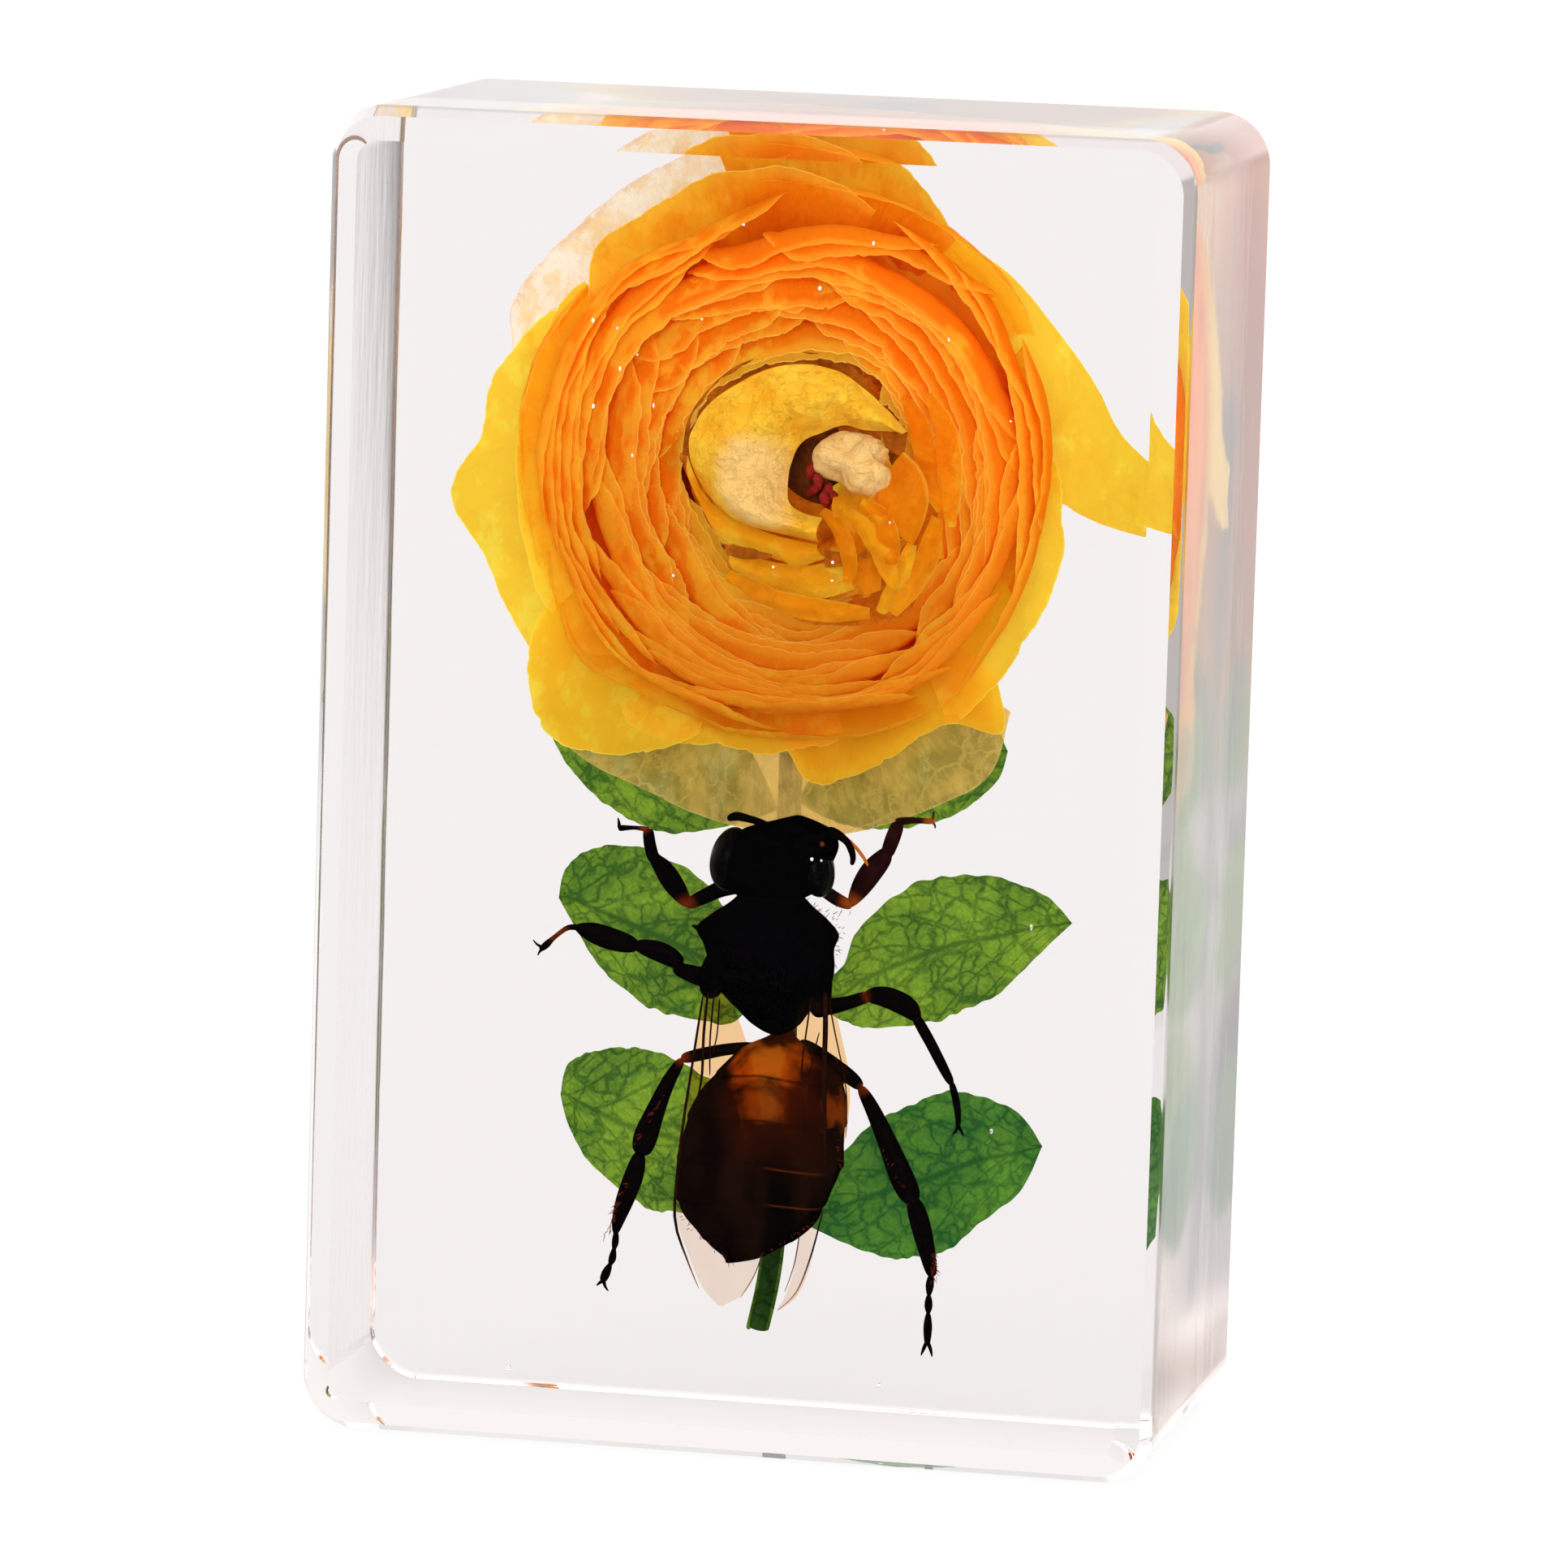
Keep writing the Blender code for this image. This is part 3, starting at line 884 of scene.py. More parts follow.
def leaf_finish(name, dark, light, glow, deep_glow):
    material, graph = new_finish(name)
    uv = graph.node("UVMap", {"uv_map": "UVMap"})
    spot = graph.place()
    ripple = graph.node("TexNoise", {}, {"Vector": spot, "Scale": 1.3, "Detail": 3.0}, output=1)
    bent = graph.add(spot, ripple)
    cells, fine = graph.edges(bent, 1.25), graph.edges(bent, 3.6)
    across = abs(graph.axis(uv, "X") - 0.5)
    lengthwise = graph.axis(uv, "Y")
    ribs = (lengthwise * 6 + across * 4.5).sum("PINGPONG", 0.5)
    net = (1 - across.step(0.0, 0.04)).sum("MAXIMUM", (1 - ribs.step(0.0, 0.10)) * 0.7)
    net = net.sum("MAXIMUM", (1 - cells.step(0.0, 0.14)) * 0.7) + (1 - fine.step(0.0, 0.2)) * 0.35
    net = net.sum("MINIMUM", 1.0)
    patches = graph.noise(spot, 0.45, 4.0, 0.65).step(0.35, 0.65)
    colour = graph.blend(patches, dark, light)
    colour = graph.blend(net * 0.7, colour, [c * 0.3 for c in dark])
    bump = graph.bump(net, 0.6, 0.06)
    skin = graph.surface(colour, 0.45, IOR=SEALED_IOR, Normal=bump)
    shade = (net * 0.7 + (1 - patches) * 0.5).sum("MINIMUM", 1.0)
    through = graph.mix(shade, graph.shine_through(glow), graph.shine_through(deep_glow))
    graph.output(graph.mix(LEAF_THIN, skin, through))
    return material


LEAF = leaf_finish("leaf_green", (0.07, 0.19, 0.02), (0.17, 0.35, 0.03), (0.36, 0.62, 0.05),
                   (0.06, 0.18, 0.03))
LEAF_DEEP = leaf_finish("leaf_deep_green", (0.03, 0.13, 0.02), (0.08, 0.24, 0.02),
                        (0.16, 0.44, 0.05), (0.03, 0.17, 0.04))
STEM = leaf_finish("leaf_stem", (0.02, 0.07, 0.015), (0.05, 0.13, 0.02), (0.10, 0.22, 0.03),
                   (0.03, 0.10, 0.02))

# %% Round things
def ball(name, finish, centre, size, turn=0.0, slot="bee_shell"):
    shape = bmesh.new()
    bmesh.ops.create_uvsphere(shape, u_segments=40, v_segments=24, radius=1.0)
    bmesh.ops.scale(shape, vec=size, verts=shape.verts)
    bmesh.ops.rotate(shape, cent=(0, 0, 0), verts=shape.verts,
                     matrix=Matrix.Rotation(math.radians(turn), 3, "Y"))
    bmesh.ops.translate(shape, vec=centre, verts=shape.verts)
    return place(name, shape, finish, slot)


# %% Leaves and stem
LEAF_DEPTH, LEAF_CUP = 4.0, 0.5
LEAF_TEETH, LEAF_TOOTH = 26, 0.024
RIB_HEIGHT, RIB_WIDTH = 0.12, 0.03
LEAF_GRID = (40, 96)


def leaf(name, finish, base, tip, upper, lower, seed):
    """A leaf from its base to its tip. The edges are the points (x, z) between those two."""
    upper, lower = [base, *upper, tip], [base, *lower, tip]

    def surface(s, t):
        top, bottom = along(upper, t), along(lower, t)
        teeth = LEAF_TOOTH * (2 * abs(s - 0.5)) ** 8 * (wave(seed, t * LEAF_TEETH) + wave(seed + 0.5, t * 7))
        s = s + (s - 0.5) * teeth
        x, z = (b + (a - b) * s for a, b in zip(top, bottom))
        fold = LEAF_CUP * (abs(2 * s - 1) - 0.5) * math.sin(math.pi * t)
        rib = RIB_HEIGHT * math.exp(-((s - 0.5) / RIB_WIDTH) ** 2)
        return Vector((x, LEAF_DEPTH + fold + rib + 0.25 * wave(seed, x * 0.4, z * 0.4), z))
    return place(name, sheet(surface, *LEAF_GRID), finish, "leaf", outward=False)


LEAVES = [
    ("upper_left", LEAF, (-0.2, 20.6), (-8.5, 23.4), [(-2.0, 23.6), (-4.8, 25.3), (-7.2, 24.8)],
     [(-1.8, 19.96), (-4.0, 19.6), (-6.0, 20.3), (-7.4, 21.6)]),
    ("upper_right", LEAF, (0.4, 20.9), (7.5, 23.0), [(2.0, 23.4), (4.6, 24.9), (6.6, 24.4)],
     [(1.8, 20.25), (3.4, 20.16), (5.5, 20.6), (7.1, 21.9)]),
    ("middle_left", LEAF, (-0.4, 14.6), (-7.6, 17.2),
     [(-1.6, 16.6), (-2.8, 18.0), (-4.9, 19.0), (-6.4, 19.0), (-7.4, 18.2)],
     [(-1.6, 13.3), (-3.5, 13.4), (-4.8, 13.8), (-6.2, 14.8), (-7.1, 16.3)]),
    ("middle_right", LEAF, (0.8, 14.3), (9.9, 17.4),
     [(2.1, 15.4), (2.6, 16.7), (4.0, 18.1), (5.6, 18.75), (7.4, 18.75), (9.0, 18.2)],
     [(2.2, 13.6), (3.1, 13.4), (5.0, 13.65), (6.2, 14.1), (7.5, 14.9), (8.8, 16.3)]),
    ("lower_left", LEAF, (-0.2, 7.6), (-7.4, 10.5),
     [(-1.4, 10.4), (-3.1, 11.8), (-5.0, 12.2), (-6.3, 12.05), (-7.2, 11.5)],
     [(-1.6, 6.6), (-3.3, 6.7), (-4.5, 6.9), (-6.2, 8.1), (-7.1, 9.5)]),
    ("lower_right", LEAF_DEEP, (0.5, 6.9), (9.1, 9.8),
     [(1.6, 8.0), (2.5, 9.3), (3.8, 10.5), (5.2, 11.2), (6.8, 11.35), (8.2, 10.9)],
     [(2.0, 6.3), (3.3, 5.85), (4.6, 5.7), (5.7, 5.95), (7.0, 7.0), (8.4, 8.2)]),
]
for number, (name, *outline) in enumerate(LEAVES):
    leaf(f"leaf_{name}", *outline, seed=51 + number)

STEM_LINE = [(-0.45, 4.6, 2.85), (0.0, 4.6, 5.7), (0.2, 4.6, 12.0), (0.1, 4.6, 20.0), (0.2, 4.2, 28.0),
             (0.2, 3.9, 32.0)]
shape = bmesh.new()
tube(shape, [(*p, 0.36, 0.34) for p in STEM_LINE], sides=20, steps=60, blunt=80)
place("sprig_stem", shape, STEM, "leaf")
shape = bmesh.new()
for side in (-1, 1):
    tube(shape, [(x + side * 0.31, y - 0.12, z + 0.02, 0.09, 0.09) for x, y, z in STEM_LINE],
         sides=10, steps=60, blunt=80)
place("sprig_stem_ridges", shape, LEAF, "leaf")
ball("flower_base", STEM, (0.2, 3.75, 32.3), (1.2, 0.5, 1.2), slot="leaf")

# %% [markdown]
# The bee. Its shell is nearly black. At the top of the abdomen and at the knees it is amber and
# red-brown, partly its own colour and partly painted light, for the light that comes through the thin
# shell there. The finish reads those warm places from a list of points, each with the distance that
# its colour reaches.

# %% Shell finishes
SHINY_IOR = 1.5  # of the eyes and of the glints, beside SEALED_IOR for everything dull
DARK_PLATE, BROWN_PLATE = (0.0012, 0.0006, 0.0006), (0.038, 0.0065, 0.002)
AMBER_PLATE = (0.38, 0.09, 0.004)
EDGE_LINES = ((12.2, 0.07), (10.75, 0.06), (9.35, 0.05), (8.1, 0.05))  # height and half width
PALE_LINES = (9.2, 7.95)


def warm_places(graph, spot, places):
    """1 at each of the points (x, y, z, reach), falling to 0 at its reach."""
    warm = None
    for x, y, z, reach in places:
        near = graph.distance(spot, (x, y, z)).step(reach, reach * 0.2)
        warm = warm.sum("MAXIMUM", near) if warm else near
    return warm


def shell_finish(name, dark, warm_colour, places=(), rough=0.5, shine=0.0):
    material, graph = new_finish(name)
    spot = graph.place()
    grain = graph.noise(spot, 4.0, 3.0, 0.6)
    colour = graph.blend(grain.step(0.45, 0.7), dark, [c * 2.2 for c in dark])
    if places:
        warm = warm_places(graph, spot, places) * (0.55 + grain * 0.8)
        colour = graph.blend(warm.sum("MINIMUM", 1.0), colour, warm_colour)
    graph.output(graph.surface(
        colour, rough, IOR=SHINY_IOR if shine else SEALED_IOR, Specular_IOR_Level=shine,
        Normal=graph.bump(grain, 0.4, 0.04)))
    return material


# The knees are red-brown partly with painted light, for light coming through the thin joints.
KNEES = [(-2.7, 0.4, 17.55, 0.55), (2.85, 0.4, 17.95, 0.6), (3.5, 0.4, 14.88, 0.32),
         (-2.68, 0.4, 12.42, 0.42), (3.45, 0.4, 11.75, 0.35), (-4.2, 0.4, 20.05, 0.3),
         (5.4, 0.4, 20.85, 0.3), (-7.0, 0.4, 16.3, 0.5)]
BLACK = (0.0005, 0.0004, 0.0006)
SHELL = shell_finish("bee_shell", BLACK, (0.30, 0.07, 0.01),
                     [(-1.2, -2.2, 19.45, 0.16), (2.1, -2.0, 20.1, 0.14)])
EYE = shell_finish("bee_eye", BLACK, (0.2, 0.05, 0.01), [(-1.5, -1.5, 19.5, 0.2)], rough=0.15, shine=0.02)
LEG = shell_finish("bee_leg", (0.0012, 0.0007, 0.0009), (0.13, 0.018, 0.004), KNEES)
RED_LEG = shell_finish("bee_leg_red", (0.010, 0.0022, 0.0022), (0.28, 0.05, 0.006), KNEES)
FEELER = shell_finish("bee_feeler", (0.12, 0.018, 0.004), (0.45, 0.12, 0.01), [(3.4, -1.4, 19.9, 1.2)])
# The glint finish is white, for beads that are painted highlights.
GLINT = shell_finish("glint", (0.45, 0.44, 0.42), (1, 1, 1), [(0, 0, 30, 90)], rough=0.3, shine=0.5)


def abdomen_finish():
    """Amber at the waist, brown below it, black at the tip, with a line at each plate's edge."""
    material, graph = new_finish("bee_abdomen")
    spot = graph.place()
    mottle = graph.noise(graph.stretch(spot, (1, 1, 0.6)), 1.1, 5.0, 0.65)
    drift = graph.noise(graph.stretch(spot, (1, 1, 1), (5, 0, 3)), 0.8, 3.0, 0.6)
    x = graph.axis(spot, "X") + mottle * 2.4 - 1.2
    z = graph.axis(spot, "Z") + drift * 2.4 - 1.2
    brown = z.step(8.4, 12.4) * abs(x - 0.7).step(2.3, 0.3)
    # The amber at the waist, with the gleam and the side patch, is partly the shell's own colour and partly
    # painted light coming through it.
    amber = abs(z - 12.6).step(0.9, 0.2) * abs(x - 0.4).step(1.5, 0.4)
    gleam = abs(z - 11.2).step(0.9, 0.2) * abs(x - 0.3).step(1.0, 0.1) * 0.45
    side = abs(z - 11.0).step(0.8, 0.2) * x.step(2.0, 2.7) * 0.4
    colour = graph.blend(brown, DARK_PLATE, BROWN_PLATE)
    colour = graph.blend(amber.sum("MAXIMUM", gleam).sum("MAXIMUM", side), colour, AMBER_PLATE)
    level = graph.axis(spot, "Z") + abs(graph.axis(spot, "X") - 0.2) * 0.12
    for edge, width in EDGE_LINES:
        line = abs(level - edge).step(width, width * 0.3)
        colour = graph.blend(line * (0.3 + mottle * 0.7), colour, (0.002, 0.001, 0.001))
    for edge in PALE_LINES:
        line = abs(level - edge).step(0.05, 0.01) * abs(x - 1.4).step(1.1, 0.4)
        colour = graph.blend(line * 0.25, colour, (0.25, 0.06, 0.006))
    graph.output(graph.surface(colour, 0.5, IOR=SEALED_IOR, Specular_IOR_Level=0.0,
                               Normal=graph.bump(mottle, 0.3, 0.05)))
    return material


BELLY = abdomen_finish()
print("bee finishes ready")

# %% Head, thorax and abdomen
shape = bmesh.new()
tube(shape, [(1.2, -1.2, 20.95, 0.3, 0.3), (1.15, -1.2, 20.72, 0.9, 0.6), (0.95, -1.3, 20.45, 1.5, 0.95),
             (0.65, -1.3, 19.95, 1.95, 1.25), (0.4, -1.3, 19.3, 1.95, 1.35), (0.3, -1.2, 18.8, 1.85, 1.3),
             (0.3, -1.1, 18.35, 1.6, 1.2), (0.3, -1.0, 17.95, 1.25, 1.0)],
     sides=48, steps=40, blunt=5, level=True)
place("bee_head", shape, SHELL, "bee_shell")

ball("bee_eye_left", EYE, (-1.02, -1.35, 19.38), (0.68, 0.9, 1.08), 12)
ball("bee_eye_right", EYE, (1.85, -1.35, 19.3), (0.62, 0.9, 1.05), -14)

shape = bmesh.new()
tube(shape, [(0.35, -1.0, 18.5, 1.1, 0.9), (0.35, -1.0, 17.95, 1.4, 1.3), (0.3, -1.0, 17.45, 2.0, 1.7),
             (0.25, -1.0, 17.0, 2.4, 2.0), (0.3, -1.0, 16.5, 2.2, 2.1), (0.4, -0.9, 15.9, 2.12, 2.2),
             (0.42, -0.9, 15.3, 2.0, 2.1), (0.45, -0.8, 14.8, 1.65, 1.8), (0.48, -0.6, 14.25, 1.15, 1.4),
             (0.5, -0.3, 13.85, 0.85, 1.0), (0.5, 0.0, 13.45, 0.42, 0.6)],
     sides=56, steps=70, blunt=12, level=True)
tube(shape, [(-1.3, -1.4, 16.4, 0.3, 0.3), (-1.45, -1.6, 15.7, 0.42, 0.4), (-1.5, -1.7, 15.1, 0.42, 0.35),
             (-1.45, -1.7, 14.7, 0.3, 0.25)], sides=20, steps=20, blunt=4)
tube(shape, [(2.1, -1.4, 16.2, 0.35, 0.3), (2.15, -1.6, 15.4, 0.42, 0.4), (2.15, -1.7, 14.8, 0.4, 0.35),
             (2.2, -1.7, 14.3, 0.28, 0.25)], sides=20, steps=20, blunt=4)
tube(shape, [(-1.5, -0.8, 16.7, 0.25, 0.3), (-2.0, -0.8, 16.9, 0.14, 0.2), (-2.35, -0.8, 17.02, 0.03, 0.05)],
     sides=12, steps=14, blunt=30)
place("bee_thorax", shape, SHELL, "bee_shell")

PLATE_TOP, PLATE_PITCH, PLATE_DROOP = 12.2, 1.4, 0.12
PLATE_LIP = 0.055  # how far each plate stands out over the next, as a share of its width
WAIST = 13.0
shape = bmesh.new()
tube(shape, [(0.75, 0.2, 13.7, 0.35, 0.4), (0.7, 0.2, 13.4, 0.45, 0.5), (0.55, 0.2, 13.0, 1.1, 1.0),
             (0.6, 0.2, 12.6, 1.6, 1.4), (0.6, 0.2, 12.0, 2.12, 1.8), (0.42, 0.2, 11.3, 2.5, 2.0),
             (0.2, 0.2, 10.2, 2.68, 2.15), (0.05, 0.2, 9.0, 2.74, 2.1), (-0.2, 0.2, 7.8, 2.48, 1.9),
             (-0.22, 0.2, 7.2, 2.25, 1.7), (-0.25, 0.2, 6.65, 1.7, 1.3), (-0.4, 0.2, 6.2, 1.15, 0.9),
             (-0.5, 0.2, 5.85, 0.6, 0.5), (-0.9, 0.2, 5.62, 0.12, 0.12)],
     sides=72, steps=150, blunt=30, level=True)
for v in shape.verts:
    slip = ((PLATE_TOP - v.co.z - PLATE_DROOP * abs(v.co.x)) / PLATE_PITCH) % 1.0
    lip = PLATE_LIP * slip ** 3 * min(1.0, max(0.0, (WAIST - v.co.z) * 2))
    v.co.x += (v.co.x - 0.1) * lip * 0.6
    v.co.y += (v.co.y - 0.2) * lip
place("bee_abdomen", shape, BELLY, "bee_shell")

# %% [markdown]
# A leg is a chain of segments that overlap at the joints, so each is a tube of its own with rounded
# ends, and all tubes of a leg are one mesh. Each row is x, z and the half width, all at one depth.

# %% Legs and feelers
LEG_DEPTH = 0.4
LEGS = {
    "front_left": [
        [(-0.7, 18.4, 0.3), (-1.5, 18.2, 0.28), (-2.1, 17.9, 0.25), (-2.75, 17.55, 0.22)],
        [(-2.65, 17.55, 0.2), (-3.0, 18.0, 0.31), (-3.3, 18.4, 0.36), (-3.6, 18.8, 0.31),
         (-3.95, 19.12, 0.2)],
        [(-3.85, 18.95, 0.21), (-4.02, 19.5, 0.21), (-4.1, 20.05, 0.19)],
        [(-4.05, 20.02, 0.12), (-4.5, 20.05, 0.07), (-4.85, 20.03, 0.09), (-5.12, 20.0, 0.12)],
        [(-5.08, 20.0, 0.07), (-5.1, 20.2, 0.05), (-5.14, 20.36, 0.02)],
    ],
    "front_right": [
        [(1.5, 18.6, 0.25), (1.9, 18.35, 0.22), (2.4, 18.05, 0.22), (2.9, 17.87, 0.17)],
        [(2.8, 17.85, 0.16), (3.16, 18.5, 0.33), (3.5, 19.05, 0.38), (3.85, 19.5, 0.32),
         (4.05, 19.85, 0.2)],
        [(3.98, 19.6, 0.22), (4.18, 20.2, 0.25), (4.36, 20.75, 0.22)],
        [(4.25, 20.75, 0.16), (4.7, 20.84, 0.12), (5.15, 20.86, 0.1), (5.5, 20.85, 0.11)],
        [(5.46, 20.84, 0.06), (5.52, 21.0, 0.05), (5.53, 21.2, 0.02)],
        [(5.46, 20.86, 0.06), (5.58, 20.75, 0.04), (5.6, 20.62, 0.02)],
    ],
    "middle_left": [
        [(-1.6, 15.1, 0.36), (-2.3, 15.22, 0.32), (-3.1, 15.45, 0.22)],
        [(-2.8, 15.55, 0.22), (-3.2, 15.78, 0.33), (-3.7, 15.97, 0.34), (-4.45, 16.12, 0.22)],
        [(-4.3, 16.07, 0.2), (-4.7, 16.15, 0.32), (-5.3, 16.28, 0.38), (-5.9, 16.45, 0.34),
         (-6.5, 16.6, 0.16)],
        [(-6.35, 16.58, 0.13), (-6.75, 16.55, 0.09), (-7.2, 16.2, 0.08), (-7.45, 15.95, 0.12),
         (-7.68, 15.74, 0.1)],
        [(-7.6, 15.84, 0.06), (-7.78, 15.93, 0.04), (-7.93, 16.08, 0.02)],
        [(-7.6, 15.78, 0.06), (-7.69, 15.68, 0.04), (-7.75, 15.55, 0.02)],
    ],
    "middle_right": [
        [(1.8, 14.35, 0.28), (2.4, 14.5, 0.27), (2.95, 14.66, 0.22), (3.55, 14.9, 0.23)],
        [(3.4, 14.88, 0.22), (3.9, 14.92, 0.33), (4.4, 14.82, 0.37), (4.9, 14.58, 0.35),
         (5.25, 14.2, 0.22)],
        [(5.12, 14.35, 0.2), (5.65, 13.5, 0.19), (6.05, 12.8, 0.18), (6.45, 12.1, 0.15)],
        [(6.42, 12.2, 0.12), (6.6, 11.6, 0.13), (6.68, 11.1, 0.11), (6.7, 10.65, 0.08)],
        [(6.68, 10.75, 0.06), (6.62, 10.55, 0.05), (6.5, 10.42, 0.02)],
        [(6.7, 10.75, 0.06), (6.82, 10.55, 0.05), (6.9, 10.4, 0.02)],
    ],
    "hind_left": [
        [(-0.2, 12.95, 0.2), (-1.2, 12.8, 0.2), (-2.0, 12.6, 0.21), (-2.75, 12.38, 0.2)],
        [(-2.7, 12.4, 0.18), (-3.17, 11.57, 0.24), (-3.6, 10.5, 0.33), (-3.88, 9.7, 0.41),
         (-4.05, 9.05, 0.36)],
        [(-4.05, 9.15, 0.26), (-4.25, 8.33, 0.33), (-4.53, 7.5, 0.31), (-4.74, 6.8, 0.22),
         (-4.83, 6.3, 0.12)],
        [(-4.8, 6.4, 0.09), (-4.82, 6.05, 0.12), (-4.86, 5.78, 0.07)],
        [(-4.85, 5.85, 0.07), (-4.9, 5.5, 0.13), (-4.98, 5.25, 0.07)],
        [(-4.96, 5.3, 0.08), (-5.1, 4.98, 0.15), (-5.22, 4.68, 0.12)],
        [(-5.18, 4.72, 0.07), (-5.32, 4.62, 0.05), (-5.42, 4.52, 0.02)],
        [(-5.18, 4.72, 0.07), (-5.12, 4.52, 0.05), (-5.0, 4.36, 0.02)],
    ],
    "hind_right": [
        [(1.2, 13.15, 0.3), (1.8, 12.85, 0.3), (2.5, 12.45, 0.28), (3.05, 12.1, 0.25), (3.4, 11.8, 0.2)],
        [(3.35, 11.85, 0.2), (3.8, 11.1, 0.26), (4.35, 10.0, 0.34), (4.85, 8.9, 0.42), (5.3, 8.05, 0.4)],
        [(5.25, 8.2, 0.3), (5.55, 7.3, 0.34), (5.8, 6.4, 0.28), (6.0, 5.6, 0.2)],
        [(5.95, 5.65, 0.1), (5.92, 5.3, 0.14), (5.9, 4.95, 0.07)],
        [(5.9, 5.0, 0.08), (5.9, 4.65, 0.14), (5.9, 4.35, 0.07)],
        [(5.9, 4.4, 0.08), (5.9, 3.9, 0.15), (5.9, 3.3, 0.1)],
        [(5.88, 3.4, 0.07), (5.78, 3.15, 0.06), (5.7, 2.92, 0.02)],
        [(5.92, 3.4, 0.07), (6.02, 3.15, 0.06), (6.08, 2.9, 0.02)],
    ],
}


def chain(name, finish, segments, depth, flat=0.85):
    shape = bmesh.new()
    for segment in segments:
        stations = [(x, depth, z, half, half * flat) for x, z, half in segment]
        tube(shape, stations, sides=16, steps=22, blunt=7)
    return place(name, shape, finish, "bee_shell")


for name, segments in LEGS.items():
    chain(f"bee_leg_{name}", RED_LEG if name == "front_right" else LEG, segments, LEG_DEPTH)
chain("bee_antenna_left", LEG, [
    [(0.6, 20.4, 0.12), (0.0, 20.65, 0.12), (-0.45, 20.76, 0.13), (-0.85, 20.82, 0.15),
     (-1.15, 20.7, 0.12)]], -1.5)
chain("bee_antenna_right", LEG, [
    [(2.2, 20.55, 0.2), (2.6, 20.4, 0.16), (2.9, 20.18, 0.12), (3.06, 19.9, 0.12), (3.12, 19.65, 0.1),
     (3.08, 19.42, 0.09)]], -1.5)
chain("bee_tongue", FEELER, [
    [(2.3, 20.5, 0.06), (2.75, 20.36, 0.06), (3.15, 20.05, 0.06), (3.45, 19.7, 0.06),
     (3.62, 19.42, 0.05)]], -1.4)

# %% [markdown]
# Short hairs stand out of the bee's outline. Each is a thin tapered tube from a point on the body to
# a point a little further out, and all of them are one mesh.

# %% Hairs
HAIR_HALF = 0.018
HAIR_BEND, HAIR_FAN = 0.05, 25  # how far a hair's middle strays, and how far its angle does
HAIR_FRONT, HAIR_BACK = -1.4, 0.6
chance = random.Random(11)
shape = bmesh.new()


def hair(x, y, z, angle, length):
    turned = math.radians(angle)
    tip = (x + length * math.cos(turned), y, z + length * math.sin(turned))
    mid = ((x + tip[0]) / 2 + chance.uniform(-HAIR_BEND, HAIR_BEND), y,
           (z + tip[2]) / 2 + chance.uniform(-HAIR_BEND, HAIR_BEND))
    tube(shape, [(x, y, z, HAIR_HALF, HAIR_HALF), (*mid, HAIR_HALF * 0.8, HAIR_HALF * 0.8),
                 (*tip, HAIR_HALF * 0.3, HAIR_HALF * 0.3)], sides=3, steps=3, blunt=60)


HAIR_LINES = [
    # from (x, z) to (x, z), the first and last angle, the length and the number
    ((2.3, 17.5), (2.65, 16.9), 40, 10, 0.13, 10), ((2.55, 17.0), (2.4, 16.2), 5, -30, 0.18, 12),
    ((2.4, 16.3), (2.3, 15.0), -30, -70, 0.15, 14), ((-1.9, 16.6), (-1.8, 15.0), 160, 230, 0.14, 26),
    ((1.2, 18.1), (2.3, 17.5), 60, 30, 0.22, 14), ((-1.4, 17.6), (-2.2, 17.0), 120, 150, 0.15, 10),
    ((-4.3, 8.2), (-4.95, 6.4), 205, 250, 0.28, 34), ((-3.2, 11.2), (-4.2, 9.2), 200, 230, 0.2, 18),
    ((6.1, 6.6), (6.15, 5.6), -20, -80, 0.26, 20), ((4.0, 10.4), (5.3, 8.2), 60, 20, 0.14, 18),
    ((2.3, 18.05), (3.0, 17.8), -120, -100, 0.3, 4),
    ((2.7, 11.8), (2.9, 9.0), 10, -40, 0.15, 22), ((-2.4, 11.0), (-2.6, 7.4), 170, 200, 0.12, 24),
    ((-2.4, 7.2), (-0.6, 5.7), 220, 280, 0.16, 30), ((0.2, 6.0), (2.4, 7.6), 280, 330, 0.14, 26),
]
for (x0, z0), (x1, z1), first, last, length, count in HAIR_LINES:
    for n in range(count):
        s = (n + chance.random()) / count
        hair(x0 + (x1 - x0) * s, chance.uniform(HAIR_FRONT, HAIR_BACK), z0 + (z1 - z0) * s,
             first + (last - first) * s + chance.uniform(-HAIR_FAN, HAIR_FAN),
             length * chance.uniform(0.5, 1.15))
place("bee_hairs", shape, FEELER, "bee_shell")

# %% [markdown]
# The wings lie folded back over the abdomen. Each is a clear film, amber near its root and pale at
# its tip, with dark veins. A film this thin doesn't bend light, so it only tints what is behind it.

# %% Wings
WING_AMBER, WING_PALE, WING_SKIN = (0.97, 0.66, 0.34), (0.91, 0.79, 0.69), (0.20, 0.07, 0.02)
WING_GRID = (24, 60)
VEIN_DEPTH = -2.45


def wing_finish():
    material, graph = new_finish("bee_wing")
    spot = graph.place()
    stain = graph.noise(graph.stretch(spot, (1, 1, 0.4)), 1.2, 2.0)
    root = (graph.axis(spot, "Z") + stain * 1.5 - 0.75).step(8.5, 12.5)
    film = graph.mix(root, graph.film(WING_PALE), graph.film(WING_AMBER))
    skin = graph.surface((*WING_SKIN, 1), 0.4, IOR=SEALED_IOR, Specular_IOR_Level=0.0)
    graph.output(graph.mix(stain.step(0.3, 0.7) * 0.04, film, skin))
    return material


WING = wing_finish()
VEIN = shell_finish("bee_vein", (0.010, 0.003, 0.002), (0.45, 0.22, 0.12),
                    [(-1.0, -1.6, 4.6, 2.6), (1.4, -1.6, 4.6, 2.4)])


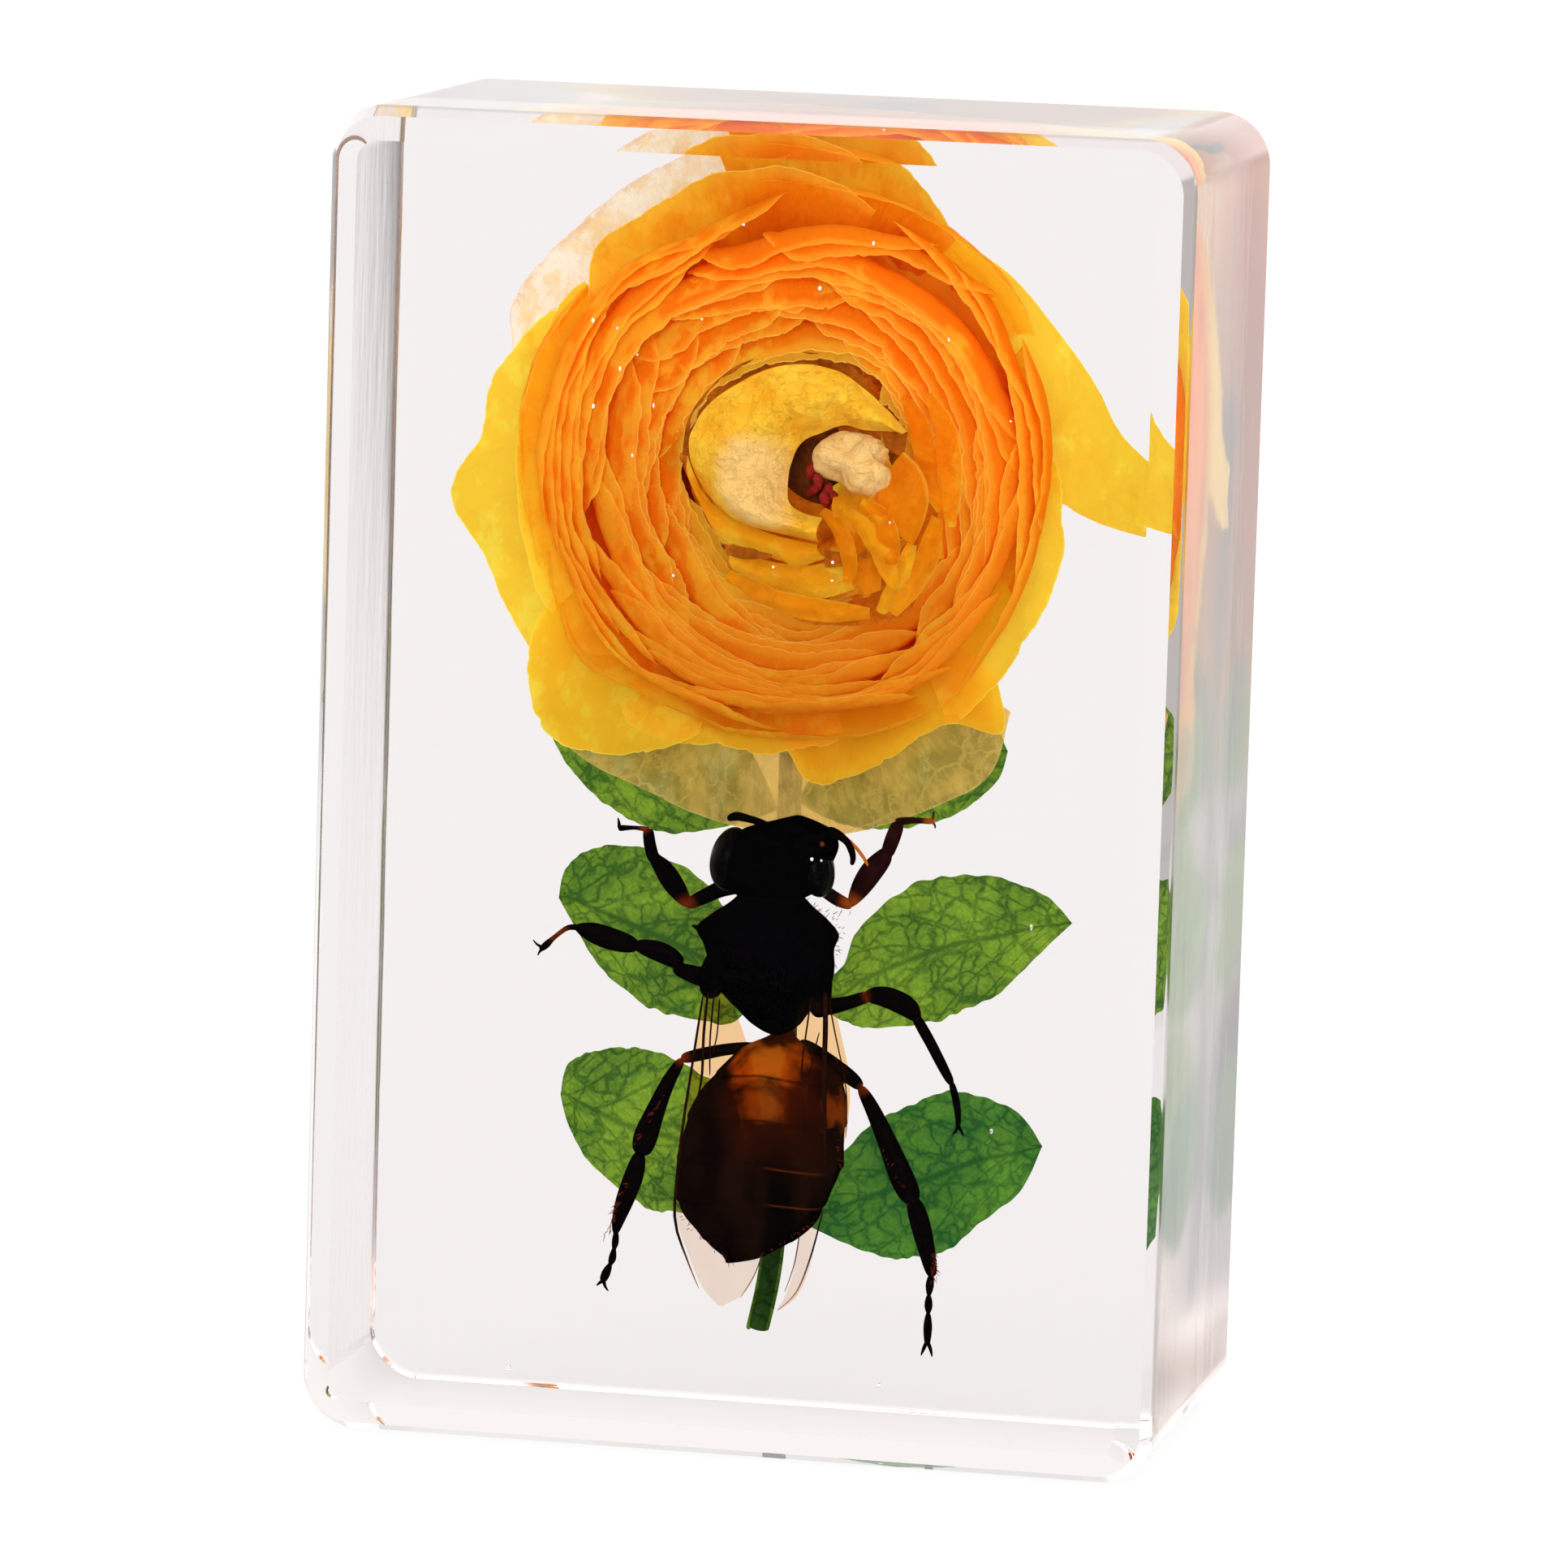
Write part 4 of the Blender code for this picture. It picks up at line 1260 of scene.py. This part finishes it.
def wing(name, seed, rows):
    """Each row is a depth, and the x and z of the outer and of the inner edge there."""
    def surface(s, t):
        y, outer_x, outer_z, inner_x, inner_z = along(rows, t)
        x, z = inner_x + (outer_x - inner_x) * s, inner_z + (outer_z - inner_z) * s
        return Vector((x, y + 0.12 * wave(seed, x, z * 0.5), z))
    return place(name, sheet(surface, *WING_GRID), WING, "bee_wing", outward=False)


wing("bee_wing_left", 71, [
    (-1.9, -1.65, 15.2, -0.9, 14.9), (-2.2, -1.9, 13.2, -0.2, 13.4), (-2.4, -2.15, 11.2, 0.3, 11.6),
    (-2.4, -2.35, 9.2, 0.6, 9.6), (-2.3, -2.4, 7.5, 0.7, 7.8), (-2.0, -2.0, 6.2, 0.45, 6.0),
    (-1.8, -1.5, 5.0, 0.0, 4.95), (-1.7, -0.95, 4.4, -0.8, 4.4)])
wing("bee_wing_right", 72, [
    (-1.9, 2.6, 15.2, 1.6, 14.8), (-2.2, 3.0, 13.8, 1.3, 13.6), (-2.3, 3.35, 12.4, 1.0, 12.2),
    (-2.4, 3.35, 10.9, 1.0, 10.6), (-2.4, 3.0, 9.2, 1.3, 9.0), (-2.3, 2.5, 7.6, 1.75, 7.3),
    (-2.0, 2.2, 6.1, 1.65, 6.0), (-1.8, 1.75, 4.95, 1.35, 4.95), (-1.7, 1.15, 4.4, 1.05, 4.4)])

VEINS_LEFT = [
    [(-1.65, 15.0, 0.05), (-1.95, 12.6, 0.045), (-2.2, 10.6, 0.05), (-2.38, 8.6, 0.05), (-2.38, 7.2, 0.05),
     (-1.95, 6.0, 0.035), (-1.5, 5.0, 0.02)],
    [(-1.5, 15.0, 0.05), (-1.6, 13.6, 0.05), (-1.62, 12.2, 0.045), (-1.75, 11.4, 0.03)],
    [(-1.3, 14.9, 0.035), (-1.38, 13.4, 0.03), (-1.35, 12.2, 0.025)],
    [(-1.1, 14.8, 0.03), (-1.15, 13.6, 0.025), (-1.3, 12.9, 0.02)],
    [(0.62, 6.4, 0.02), (0.35, 5.6, 0.018), (-0.1, 4.8, 0.012)],
]
VEINS_RIGHT = [
    [(2.45, 15.2, 0.09), (2.5, 14.0, 0.09), (2.5, 12.4, 0.085), (2.58, 10.8, 0.06), (2.6, 9.6, 0.04)],
    [(2.6, 14.9, 0.03), (2.85, 13.8, 0.025), (3.15, 12.6, 0.022), (3.3, 11.6, 0.02), (3.3, 10.4, 0.015)],
    [(2.0, 15.1, 0.03), (1.85, 13.8, 0.03), (1.75, 12.7, 0.028), (1.85, 11.6, 0.025), (1.9, 10.4, 0.02)],
    [(2.3, 13.9, 0.025), (2.1, 13.0, 0.025), (2.0, 12.2, 0.02), (2.0, 11.4, 0.015)],
    [(2.6, 7.9, 0.03), (2.25, 6.4, 0.03), (1.8, 5.15, 0.025), (1.15, 4.45, 0.015)],
    [(1.85, 7.2, 0.02), (1.7, 6.1, 0.02), (1.4, 5.1, 0.015)],
]
for name, veins in (("left", VEINS_LEFT), ("right", VEINS_RIGHT)):
    chain(f"bee_wing_{name}_veins", VEIN, veins, VEIN_DEPTH, flat=1.0)

# %% [markdown]
# Small white beads are painted highlights: they glitter here and there on the petals, which are wet
# with resin, and make two small lights on the bee's right eye. The resin itself has a few tiny air bubbles.

# %% Glints and bubbles
GLINT_SIZE, EYE_GLINT_SIZE, BUBBLE_SIZE = 0.055, 0.05, 0.09
PETAL_GLINTS = [
    (-1.4, -0.1, 40.3), (-2.5, -1.5, 37.2), (-5.5, -0.4, 36.7), (-6.4, 0.0, 36.9), (-4.7, -1.1, 35.9),
    (-5.3, -0.9, 35.4), (-6.2, -0.7, 34.1), (-4.0, -1.8, 34.3), (-4.7, -1.6, 32.6), (1.4, -1.4, 38.4),
    (5.7, -1.0, 36.9), (2.45, -3.9, 29.0), (0.4, -3.4, 29.3), (-3.2, -1.6, 28.7), (3.0, -0.3, 39.9),
    (7.8, -0.6, 34.3), (2.45, -3.9, 29.6), (4.3, -3.8, 31.0),
]
EYE_GLINTS = [(1.85, -2.35, 19.62), (2.15, -2.2, 19.58)]
BUBBLES = [(-7.84, -3.0, 1.96), (4.77, -3.0, 2.28), (8.24, -3.0, 11.03), (9.34, -3.0, 17.87)]


def beads(name, finish, points, size, slot=None):
    """Little balls, each somewhat longer or flatter than the next, in one mesh."""
    shape = bmesh.new()
    for point in points:
        stretch = (size * chance.uniform(0.5, 1.1), size * 0.5, size * chance.uniform(0.6, 1.6))
        bmesh.ops.create_icosphere(
            shape, subdivisions=2, radius=1.0, matrix=Matrix.LocRotScale(point, None, stretch))
    return place(name, shape, finish, slot)


def bubble_finish():
    material, graph = new_finish("air_bubble")
    graph.output(graph.surface((1, 1, 1, 1), 0.0, IOR=1 / RESIN_IOR, Transmission_Weight=1.0))
    return material


beads("petal_glints", GLINT, PETAL_GLINTS, GLINT_SIZE)
beads("eye_glints", GLINT, EYE_GLINTS, EYE_GLINT_SIZE)
beads("air_bubbles", bubble_finish(), BUBBLES, BUBBLE_SIZE)
